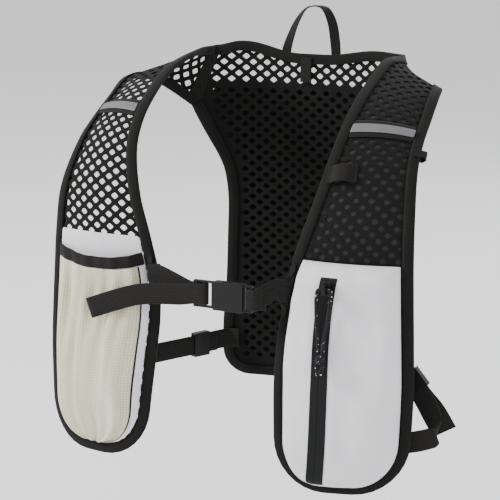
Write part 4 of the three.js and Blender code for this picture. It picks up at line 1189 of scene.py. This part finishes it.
@dataclass(frozen=True)
class Backing:
    """The thin black layer behind the wearer's left net.

    Attributes:
        wall: its thickness.
        tucked: how far its edges lie from the cloth's, under the edge tapes.
        depth: how far it lies behind the middle of the net.
    """

    wall: float = 0.3
    tucked: float = 0.6 * BINDING_W
    depth: float = SLOT - 0.15

    def build(self) -> bpy.types.Object:
        """Makes the layer, between the edge tapes."""

        def face(s: float, t: float) -> Point:
            b = mix(EDGE_IN, LEFT.length - 1, t)
            return LEFT.at(s * (LEFT.half(b) - self.tucked), b, -self.depth)

        looks = (BACKING_FINISH, "sleeve_cloth", ["left_front_panel"])
        return sheet("left_backing_cloth", (14, 70), (115, 450), face, looks, self.wall, rounds=0)


@dataclass(frozen=True)
class RightPockets:
    """The wearer's right side: white lining, open mesh pocket and its elastic.

    Attributes:
        lining_wall: thickness of the lining.
        pocket_wall: thickness of the mesh and its white gusset.
        seam_wall: thickness of the tape between those two.
        band_wall: thickness of the elastic.
        fold_height: height of the mesh's folds.
        gusset: place of the gusset's edge, from -1 at the neck side to 1.
    """

    lining_wall: float = 0.8
    pocket_wall: float = 0.9
    seam_wall: float = 0.5
    band_wall: float = 1.7
    fold_height: float = 3.4
    gusset: float = -0.88

    def fold(self, s: float, b: float) -> float:
        """Soft upright folds of the mesh, in millimetres."""
        strength = 0.35 + 0.65 * smooth(b, 40, MESH_TOP)
        waves = math.sin(9.5 * s + 0.9 * math.sin(b / 38)) + 0.6 * math.sin(21 * s + b / 60 + 1.3)
        edge = 1 - smooth(abs(s), 0.8, 1.0)
        held = 1 - 0.75 * smooth(b, 140, MESH_TOP)
        return self.fold_height * strength * waves * edge * held

    def mesh_point(self, s: float, b: float, h: float) -> Point:
        """A place on the mesh pocket."""
        half = RIGHT.half(b, EDGE_IN)
        t = (s + 1) / 2
        across = smooth(t, 0, 0.12) * (1 - t**3)
        along = smooth(b, EDGE_IN - 8, 80) * (1 - 0.3 * smooth(b, 110, MESH_TOP))
        sag = ELASTIC_SAG * (1 - s * s) * smooth(b, MESH_TOP - 90, MESH_TOP)
        rise = MESH_BULGE * across * along
        return RIGHT.at(s * half, b - sag, LINING_OUT + 2 * GAP + rise + h)

    def build(self) -> list[bpy.types.Object]:
        """Makes the lining, the pocket's three parts and its elastic."""
        low, high = EDGE_IN, LINING_TOP
        white_looks = (WHITE_FINISH, "white_cloth", ["right_mesh_pocket"])

        def lining(s: float, t: float) -> Point:
            b, ease = mix(low, high, t), 0.12 * math.sin(13 * s + 8 * t)
            return RIGHT.at(s * RIGHT.half(b, EDGE_IN), b, STACK + LINING_T / 2 + ease)

        def part(first: float, last: float, lift: float) -> Callable[[float, float], Point]:
            def place(s: float, t: float) -> Point:
                b, across = mix(low, MESH_TOP, t), mix(first, last, (s + 1) / 2)
                return self.mesh_point(across, b, lift + self.fold(across, b))

            return place

        def band(s: float, t: float) -> Point:
            lift = 1.0 + 0.2 * math.sin(90 * s) + 0.9 * self.fold(s, MESH_TOP)
            return self.mesh_point(s, MESH_TOP + GAP + t * ELASTIC_H, lift)

        looks = (WHITE_FINISH, "white_cloth", ["right_lining"])
        white = sheet("lining_cloth", (24, 40), (110, high - low), lining, looks, self.lining_wall)
        mesh, looks = part(self.gusset, 1.0, 0.6), (CREAM_FINISH, "cream_mesh", ["right_mesh_pocket"])
        cream = sheet("mesh_pocket_cloth", (56, 60), (112, MESH_TOP - low), mesh, looks, self.pocket_wall)
        side = part(-1.0, self.gusset, 0.5)
        sheet("pocket_gusset_cloth", (8, 60), (10, 177), side, white_looks, self.pocket_wall)
        seam = part(self.gusset - 0.02, self.gusset + 0.005, 1.2)
        looks = (WEBBING_FINISH, "webbing", ["right_mesh_pocket"])
        sheet("pocket_seam_tape", (3, 60), (1.5, 177), seam, looks, self.seam_wall)
        looks = (WEBBING_FINISH, "webbing", ["right_pocket_elastic"])
        elastic = sheet("pocket_elastic_band", (64, 5), (125, ELASTIC_H), band, looks, self.band_wall)
        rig.sheet(white, flat=(0.115, 0.204), held="stretched", rests_on=["right_front_panel"])
        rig.sheet(cream, flat=(0.125, 0.178), held="gathered", rests_on=["right_front_panel"])
        return [white, cream, elastic]


@dataclass(frozen=True)
class ZipPocket:
    """The wearer's left side: a pocket with rounded shoulders, closed by a zip down its front.

    Attributes:
        wall: thickness of the pocket's cloth.
        tape_wall: thickness of the zip's tape.
        skin: how far the cloth's middle lies inside the pocket's outer face.
        pucker: height of the small folds along its edges.
    """

    wall: float = 1.0
    tape_wall: float = 0.9
    skin: float = 0.9
    pucker: float = 0.7

    def zip_at(self, b: float) -> float:
        """Middle of the zip at a height."""
        return ZIP_PLACE + ZIP_SLANT * b / LINING_TOP

    def dome(self, share: float) -> float:
        """Quarter-round rise."""
        return math.sqrt(1 - (1 - min(max(share, 0.0), 1.0)) ** 2)

    def place(self, a: float, b: float, inset: float, h: float) -> Point:
        """A place on the pocket's face."""
        half = LEFT.half(b, inset)
        across = self.dome((half - abs(a)) / min(ZIP_SHOULDER, 0.5 * half))
        along = self.dome((b - inset) / ZIP_SHOULDER) * self.dome((LINING_TOP - b) / ZIP_SHOULDER)
        sag = ZIP_SAG * across * along * (1 - smooth(b, 0, 100))
        away = smooth(abs(a - self.zip_at(b)), 10, 26)
        waves = 0.8 * math.sin(b / 11 + a / 17) + 0.6 * math.sin(b / 23 - a / 9 + 1)
        waves = waves + 0.3 * math.sin(b / 5 + a / 6)
        inside = half - abs(a)
        pucker = self.pucker * math.sin(b / 3.4) * (1 - smooth(inside, 2, 26)) * smooth(inside, 0, 4)
        crease = ((1.7 * waves - 2.4) * away + pucker) * across * along
        return LEFT.at(a, b - sag, ZIP_BASE + (ZIP_BULGE - self.skin) * across * along + crease + h)

    def eased(self, s: float) -> float:
        """Places across, closer together at the shoulders."""
        return math.sin(s * math.pi / 2)

    def build(self) -> list[bpy.types.Object]:
        """Makes the pocket and its zip tape."""
        low, high = ZIP_INSET, LINING_TOP

        def face(s: float, t: float) -> Point:
            b = mix(low, high, (1 - math.cos(math.pi * t)) / 2)
            return self.place(self.eased(s) * LEFT.half(b, ZIP_INSET), b, ZIP_INSET, 0.0)

        def strip(s: float, t: float) -> Point:
            b = mix(low + 6.5, high - 9, t)
            ridge = 0.35 * (1 - smooth(abs(s), 0.0, 0.12))
            return self.place(self.zip_at(b) + s * (ZIP_TAPE_W / 2 - 0.6), b, ZIP_INSET, 1.1 - ridge)

        looks = (WHITE_FINISH, "white_cloth", ["left_zip_pocket"])
        pocket = sheet("zip_pocket_cloth", (64, 72), (150, 240), face, looks, self.wall, offset=-0.6)
        looks = (ZIP_FINISH, "zip_tape", ["left_zip_tape"])
        zipper = sheet("zip_tape_cloth", (16, 60), (ZIP_TAPE_W, 200), strip, looks, self.tape_wall)
        for loop in zipper.data.uv_layers["UVMap"].data:
            loop.uv = (loop.uv[1], loop.uv[0])
        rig.sheet(pocket, flat=(0.15, 0.235), held="stretched", rests_on=["left_front_panel"])
        return [pocket, zipper]


@dataclass(frozen=True)
class Sleeve:
    """The plain sleeve on the outside of the back.

    Attributes:
        wall: thickness of its cloth.
        slack: height of its slack folds.
    """

    wall: float = 1.0
    slack: float = 0.9

    def build(self) -> bpy.types.Object:
        """Makes the sleeve with slack folds."""

        def face(s: float, t: float) -> Point:
            b = mix(SLEEVE_IN, SLEEVE_TOP, t)
            bulge = SLEEVE_BULGE * (1 - s**4) * smooth(b, -20, 90) * (1 - 0.35 * smooth(b, 200, SLEEVE_TOP))
            edge = (1 - smooth(abs(s), 0.75, 1.0)) * smooth(b, 20, 60)
            slack = self.slack * math.sin(b / 23 + 2.2 * s) * math.sin(3.1 * s + 0.6) * edge
            half = BACK.half(b, SLEEVE_IN)
            if b > WING_LOW:
                slope = (BACK.side_half(min(b + 3, BACK.seam_low)) - BACK.side_half(b - 3)) / 6
                half = BACK.side_half(b) - SLEEVE_IN * math.hypot(1, slope)
            return BACK.at(s * half, b, STACK + bulge + 0.6 + slack)

        looks = (SLEEVE_FINISH, "sleeve_cloth", ["back_sleeve"])
        piece = sheet("sleeve_cloth", (48, 72), (165, 296), face, looks, self.wall, BACKWARD)
        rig.sheet(piece, flat=(0.185, 0.296), held="stretched", rests_on=["back_panel"])
        return piece


@dataclass(frozen=True)
class AcrossStrap:
    """A tape or silver strip across a shoulder strap.

    Attributes:
        node: the node that it stands for.
        cloth: the strap's cloth.
        width: its width.
        lift: how far its middle stands off the cloth.
        wall: its thickness.
        finish: its finish.
        slot: the record's slot.
    """

    node: str
    cloth: FrontCloth
    width: float
    lift: float
    wall: float
    finish: Fabric | Moulded
    slot: str

    def build(self) -> bpy.types.Object:
        """Makes the piece."""
        side = self.cloth.side

        def face(s: float, t: float) -> Point:
            b = STRAP_TAPE_AT[side] + (t - 0.5) * self.width
            return self.cloth.at(s * (self.cloth.half(b) - EDGE_IN), b, self.lift)

        looks, way = (self.finish, self.slot, [self.node]), (side * 0.3, 0.0, 1.0)
        return sheet(self.node + "_cloth", (24, 4), (60, self.width), face, looks, self.wall, way)


def strap_tapes(cloth: FrontCloth) -> list[bpy.types.Object]:
    """Makes the tape across one strap, with the silver strip on it."""
    tape, silver = (f"{NAMES[cloth.side]}_{word}" for word in ("strap_tape", "reflector"))
    return [
        AcrossStrap(
            tape, cloth, width=20.0, lift=SLOT + 0.55, wall=1.0, finish=WEBBING_FINISH, slot="webbing"
        ).build(),
        AcrossStrap(
            silver, cloth, width=10.0, lift=SLOT + 1.4 + GAP, wall=0.55, finish=SILVER_FINISH,
            slot="reflective",
        ).build(),
    ]


def rings_of(node: bpy.types.Object) -> list[list[Point]]:
    """The four corners of a strap at each of its stations, read from its node.

    Args:
        node: a node that is a flat strap.

    Returns:
        Rings of four points in millimetres, each in the order low left, low right, high right, high left.
    """
    body = bmesh.new()
    body.from_mesh(node.data)
    bmesh.ops.remove_doubles(body, verts=body.verts[:], dist=1e-6)
    body.verts.index_update()
    near = {v.index: {e.other_vert(v).index for e in v.link_edges} for v in body.verts}
    places = {v.index: np.array(v.co) / MM for v in body.verts}
    body.free()

    def levels(start: frozenset[int]) -> list[set[int]]:
        seen, layers = set(start), [set(start)]
        while layers[-1]:
            ahead = {j for i in layers[-1] for j in near[i]} - seen
            seen |= ahead
            layers.append(ahead)
        return layers[:-1]

    far = next(iter(levels(frozenset([0]))[-1]))
    around = {far} | near[far] | {j for i in near[far] for j in near[i]}
    for others in combinations(sorted(around - {far}), 3):
        start = frozenset((far, *others))
        if all(len(near[i] & start) >= 2 for i in start):
            layers = levels(start)
            if all(len(layer) == 4 for layer in layers):
                break
    else:
        raise ValueError(f"{node.name} isn't a strap of four-sided stations")
    rings: list[list[Point]] = []
    first = sorted(layers[0])
    pairs = sorted(combinations(first, 2), key=lambda p: float(np.linalg.norm(places[p[0]] - places[p[1]])))
    (p, q) = pairs[0]
    r, t = (i for i in first if i not in (p, q))
    if np.linalg.norm(places[q] - places[r]) > np.linalg.norm(places[q] - places[t]):
        r, t = t, r
    rings.append([places[i] for i in (p, t, r, q)])
    for layer in layers[1:]:

        def step(order: Sequence[int]) -> float:
            return sum(float(np.linalg.norm(places[i] - corner)) for i, corner in zip(order, rings[-1]))

        rings.append([places[i] for i in min(permutations(sorted(layer)), key=step)])
    return rings


# Half of a strap's profile, as shares of its half width and half thickness
STRAP_PROFILE = (
    (-1.0, -0.55), (-0.94, -1.0), (-0.5, -0.94), (0.0, -1.0), (0.5, -0.94), (0.94, -1.0), (1.0, -0.55),
)


@dataclass
class Strap:
    """A strap of ribbed webbing, rebuilt smoothly from its node."""

    node: str
    finish: Fabric = WEBBING_FINISH
    slot: str = "webbing"

    def build(self, node: bpy.types.Object) -> bpy.types.Object:
        """Lays a rounded, ribbed strap along the node's stations."""
        rings = rings_of(node)
        corners = [Line(ring[k] for ring in rings) for k in range(4)]
        width = float(np.linalg.norm(rings[0][1] - rings[0][0]))
        profile = [*STRAP_PROFILE, *((-u, -v) for u, v in STRAP_PROFILE)]
        steps = max(6 * (len(rings) - 1), 24)
        stations, lengths, last = [], [0.0], None
        for k in range(steps + 1):
            low_left, low_right, high_right, high_left = (line.at(k / steps) for line in corners)
            centre = (low_left + low_right + high_right + high_left) / 4
            across = (low_right + high_right - low_left - high_left) / 4
            off = (high_left + high_right - low_left - low_right) / 4
            stations.append([centre + across * u + off * v for u, v in profile])
            if last is not None:
                lengths.append(lengths[-1] + float(np.linalg.norm(centre - last)))
            last = centre
        widths = [u * width / 2 for u, _ in profile]
        body = swept(stations, lengths, widths)
        return finished(self.node + "_strap", body, self.finish, self.slot, [self.node])


@dataclass(frozen=True)
class Cord:
    """The zip's doubled pull cord and its knot.

    Attributes:
        sides: sides of the round tube.
        steps: lengths that it is made of.
        way: its two strands from the slider to the knot: how far aside, how far down and how far off.
        strands: half the distance between the strands near the knot.
    """

    sides: int = 16
    steps: int = 90
    way: tuple[tuple[float, float, float], ...] = ((5.2, 1.5, 0.0), (6.0, 10.0, 0.0), (5.0, 30.0, -1.0))
    strands: float = 2.2

    def line(self) -> list[Point]:
        """The cord's own way, from the knot up through the bail and back down."""
        top = ZIP_BASE + ZIP_BULGE + GAP + 1.1
        bail = 2 * (CORD_R + GAP)
        h = top + GAP + 0.3 + SLIDER_H - 0.2 + bail / 2
        a = ZIP_PLACE + ZIP_SLANT * SLIDER_AT / LINING_TOP

        def side(way: int) -> list[Point]:
            low = ((self.strands, CORD_DROP - 8, 0.0), (self.strands, CORD_DROP, 0.0))
            places = (*self.way, *low)
            return [LEFT.at(a + aside * way, SLIDER_AT - down, h + off) for aside, down, off in places]

        route = Line([*reversed(side(-1)), LEFT.at(a, SLIDER_AT, h), *side(1)])
        return [route.at(k / self.steps) for k in range(self.steps + 1)]

    def build(self, knot: bpy.types.Object) -> bpy.types.Object:
        path = self.line()
        stations, lengths = [], [0.0]
        side = np.array((0.0, -1.0, 0.0))
        for k, p in enumerate(path):
            along = unit(path[min(k + 1, len(path) - 1)] - path[max(k - 1, 0)])
            side = unit(side - along * float(side @ along))
            other = np.cross(along, side)
            angles = [2 * math.pi * i / self.sides for i in range(self.sides)]
            stations.append([p + (side * math.cos(x) + other * math.sin(x)) * CORD_R for x in angles])
            if k:
                lengths.append(lengths[-1] + float(np.linalg.norm(p - path[k - 1])))
        body = swept(stations, lengths, [2 * math.pi * CORD_R * i / self.sides for i in range(self.sides)])
        piece = finished("pull_cord_braid", body, CORD_FINISH, "cord", ["zip_pull_cord"])
        points = [tuple(p * MM) for p in path]
        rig.cord(
            piece,
            exit=points[0],
            length=lengths[-1] * MM,
            diameter=2 * CORD_R * MM,
            far_end="knot",
            stiffness="limp",
            lay="hanging",
            path=points,
            with_pieces=[knot],
        )
        return piece


@dataclass(frozen=True)
class Hardware:
    """Buckle, sliders, zip slider, knot and arm tab: their solids are right and only need a finish.

    Attributes:
        moulded: width of the rounding on the buckle and side sliders.
        small: width of the rounding on the zip slider.
        cloth: width of the rounding on the arm tab.
        sharp: edges that turn by more than this are rounded.
    """

    moulded: float = 0.55 * MM
    small: float = 0.35 * MM
    cloth: float = 0.3 * MM
    sharp: float = math.radians(35)

    def dress(self, nodes: dict[str, bpy.types.Object]) -> None:
        """Rounds the edges of each solid and gives it its finish."""
        for name in ("buckle_plug", "buckle_socket", "right_side_slider", "left_side_slider"):
            self.finish(nodes[name], PLASTIC_FINISH, self.moulded)
        self.finish(nodes["left_zip_slider"], PLASTIC_FINISH, self.small)
        self.finish(nodes["zip_pull_knot"], KNOT_FINISH, 0.0)
        self.finish(nodes["arm_tab"], TAB_FINISH, self.cloth)

    def finish(self, node: bpy.types.Object, finish: Fabric | Moulded, bevel: float) -> None:
        """Gives a node a material, and rounded edges where bevel isn't 0."""
        node.data.materials.clear()
        node.data.materials.append(FINISHES.of(finish))
        weld = node.modifiers.new("weld", "WELD")
        weld.merge_threshold = 1e-5
        if bevel:
            rounding = node.modifiers.new("rounding", "BEVEL")
            rounding.width, rounding.segments, rounding.limit_method = bevel, 3, "ANGLE"
            rounding.angle_limit = self.sharp
        else:
            subdivision = node.modifiers.new("rounds", "SUBSURF")
            subdivision.levels = subdivision.render_levels = 2
        log.info("%s: dressed", node.name)


# The room


@dataclass(frozen=True)
class Studio:
    """Camera at the photograph's angle, a pale floor and soft light."""

    azimuth: float = 25.0
    elevation: float = 12.0
    distance: float = 2.0
    focal_px: float = 2060.0
    image_px: float = 500.0
    centre_px: tuple[float, float] = (260.0, 250.0)
    target: tuple[float, float, float] = (0.0, -0.058, -0.172)
    floor_z: float = -0.52

    def camera(self) -> None:
        """Makes the camera."""
        az, el = math.radians(self.azimuth), math.radians(self.elevation)
        back = Vector((math.sin(az) * math.cos(el), -math.cos(az) * math.cos(el), math.sin(el)))
        data = bpy.data.cameras.new("camera")
        data.sensor_fit, data.sensor_width = "HORIZONTAL", 36.0
        data.lens = 36.0 * self.focal_px / self.image_px
        data.clip_start, data.clip_end = 0.05, 60.0
        camera = bpy.data.objects.new("camera", data)
        bpy.context.scene.collection.objects.link(camera)
        turn = (-back).to_track_quat("-Z", "Y")
        shift = (self.centre_px[0] - self.image_px / 2) * self.distance / self.focal_px
        right = turn @ Vector((1.0, 0.0, 0.0))
        camera.location = Vector(self.target) + back * self.distance - right * shift
        camera.rotation_mode = "QUATERNION"
        camera.rotation_quaternion = turn
        bpy.context.scene.camera = camera

    def floor(self) -> None:
        """Makes the pale floor."""
        body = bmesh.new()
        bmesh.ops.create_circle(body, cap_ends=True, segments=96, radius=14.0)
        mesh = bpy.data.meshes.new("floor")
        bmesh.ops.translate(body, verts=body.verts[:], vec=(0.0, 0.0, self.floor_z))
        body.to_mesh(mesh)
        body.free()
        floor = bpy.data.objects.new("floor", mesh)
        bpy.context.scene.collection.objects.link(floor)
        shade = Shade("pale_floor")
        shade.put("Base Color", (0.86, 0.86, 0.86))
        shade.put("Roughness", 0.9)
        mesh.materials.append(shade.material)
        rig.stage(floor)

    def lamp(self, name: str, place: tuple[float, float, float], size: float, power: float) -> None:
        """Adds one soft lamp that looks at the vest."""
        data = bpy.data.lights.new(name, "AREA")
        data.shape, data.size, data.energy = "DISK", size, power
        lamp = bpy.data.objects.new(name, data)
        bpy.context.scene.collection.objects.link(lamp)
        lamp.location = place
        way = Vector(self.target) - Vector(place)
        lamp.rotation_mode = "QUATERNION"
        lamp.rotation_quaternion = way.to_track_quat("-Z", "Y")

    def build(self) -> None:
        """Makes the whole room."""
        self.camera()
        self.floor()
        world = bpy.data.worlds.new("studio")
        world.use_nodes = True
        world.node_tree.nodes["Background"].inputs[0].default_value = (1.0, 1.0, 1.0, 1.0)
        world.node_tree.nodes["Background"].inputs[1].default_value = 1.1
        bpy.context.scene.world = world
        self.lamp("key", (-2.0, -1.3, 1.3), 0.9, 95.0)
        self.lamp("fill", (1.9, -1.3, 0.5), 1.6, 20.0)
        self.lamp("rim", (0.4, 1.9, 1.2), 1.4, 26.0)


STRAPS = (
    "hose_keeper",
    "hang_loop",
    "sleeve_tab",
    "right_chest_anchor",
    "left_chest_anchor",
    "right_chest_webbing",
    "left_chest_webbing",
    "right_side_back_webbing",
    "right_side_front_webbing",
    "left_side_front_webbing",
    "left_side_back_webbing",
)


def main() -> None:
    """Builds the room and the vest."""
    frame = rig.load()
    cad_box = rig.bounds()
    Studio().build()
    nodes = frame["nodes"]
    Cord().build(nodes["zip_pull_knot"])
    nets = [
        Net("right_net", RIGHT, "right_front_panel").build(),
        Net("left_net", LEFT, "left_front_panel").build(),
        Net("back_net", BACK, "back_panel").build(),
    ]
    bindings = Bindings()
    bindings.front(RIGHT, "right")
    bindings.front(LEFT, "left")
    bindings.back()
    Seam("right_seam_tape", RIGHT).build()
    Seam("left_seam_tape", LEFT).build()
    Backing().build()
    RightPockets().build()
    ZipPocket().build()
    Sleeve().build()
    for cloth in (RIGHT, LEFT):
        strap_tapes(cloth)
    for node in STRAPS:
        Strap(node).build(nodes[node])
    Hardware().dress(nodes)
    fronts = ["right_front_panel", "left_front_panel"]
    flats = ((0.133, 0.47), (0.133, 0.47), (0.25, 0.34))
    for net, flat, others in zip(nets, flats, (["back_panel"], ["back_panel"], fronts)):
        cut = sum(face.area for face in net.data.polygons)
        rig.sheet(net, flat=flat, held="hung", rests_on=others, area=cut)
    boxes = {"cad": [list(v) for v in cad_box], "visual": [list(v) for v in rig.bounds()]}
    with open("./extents.json", "w") as out:
        json.dump(boxes, out)


if __name__ == "__main__":
    main()
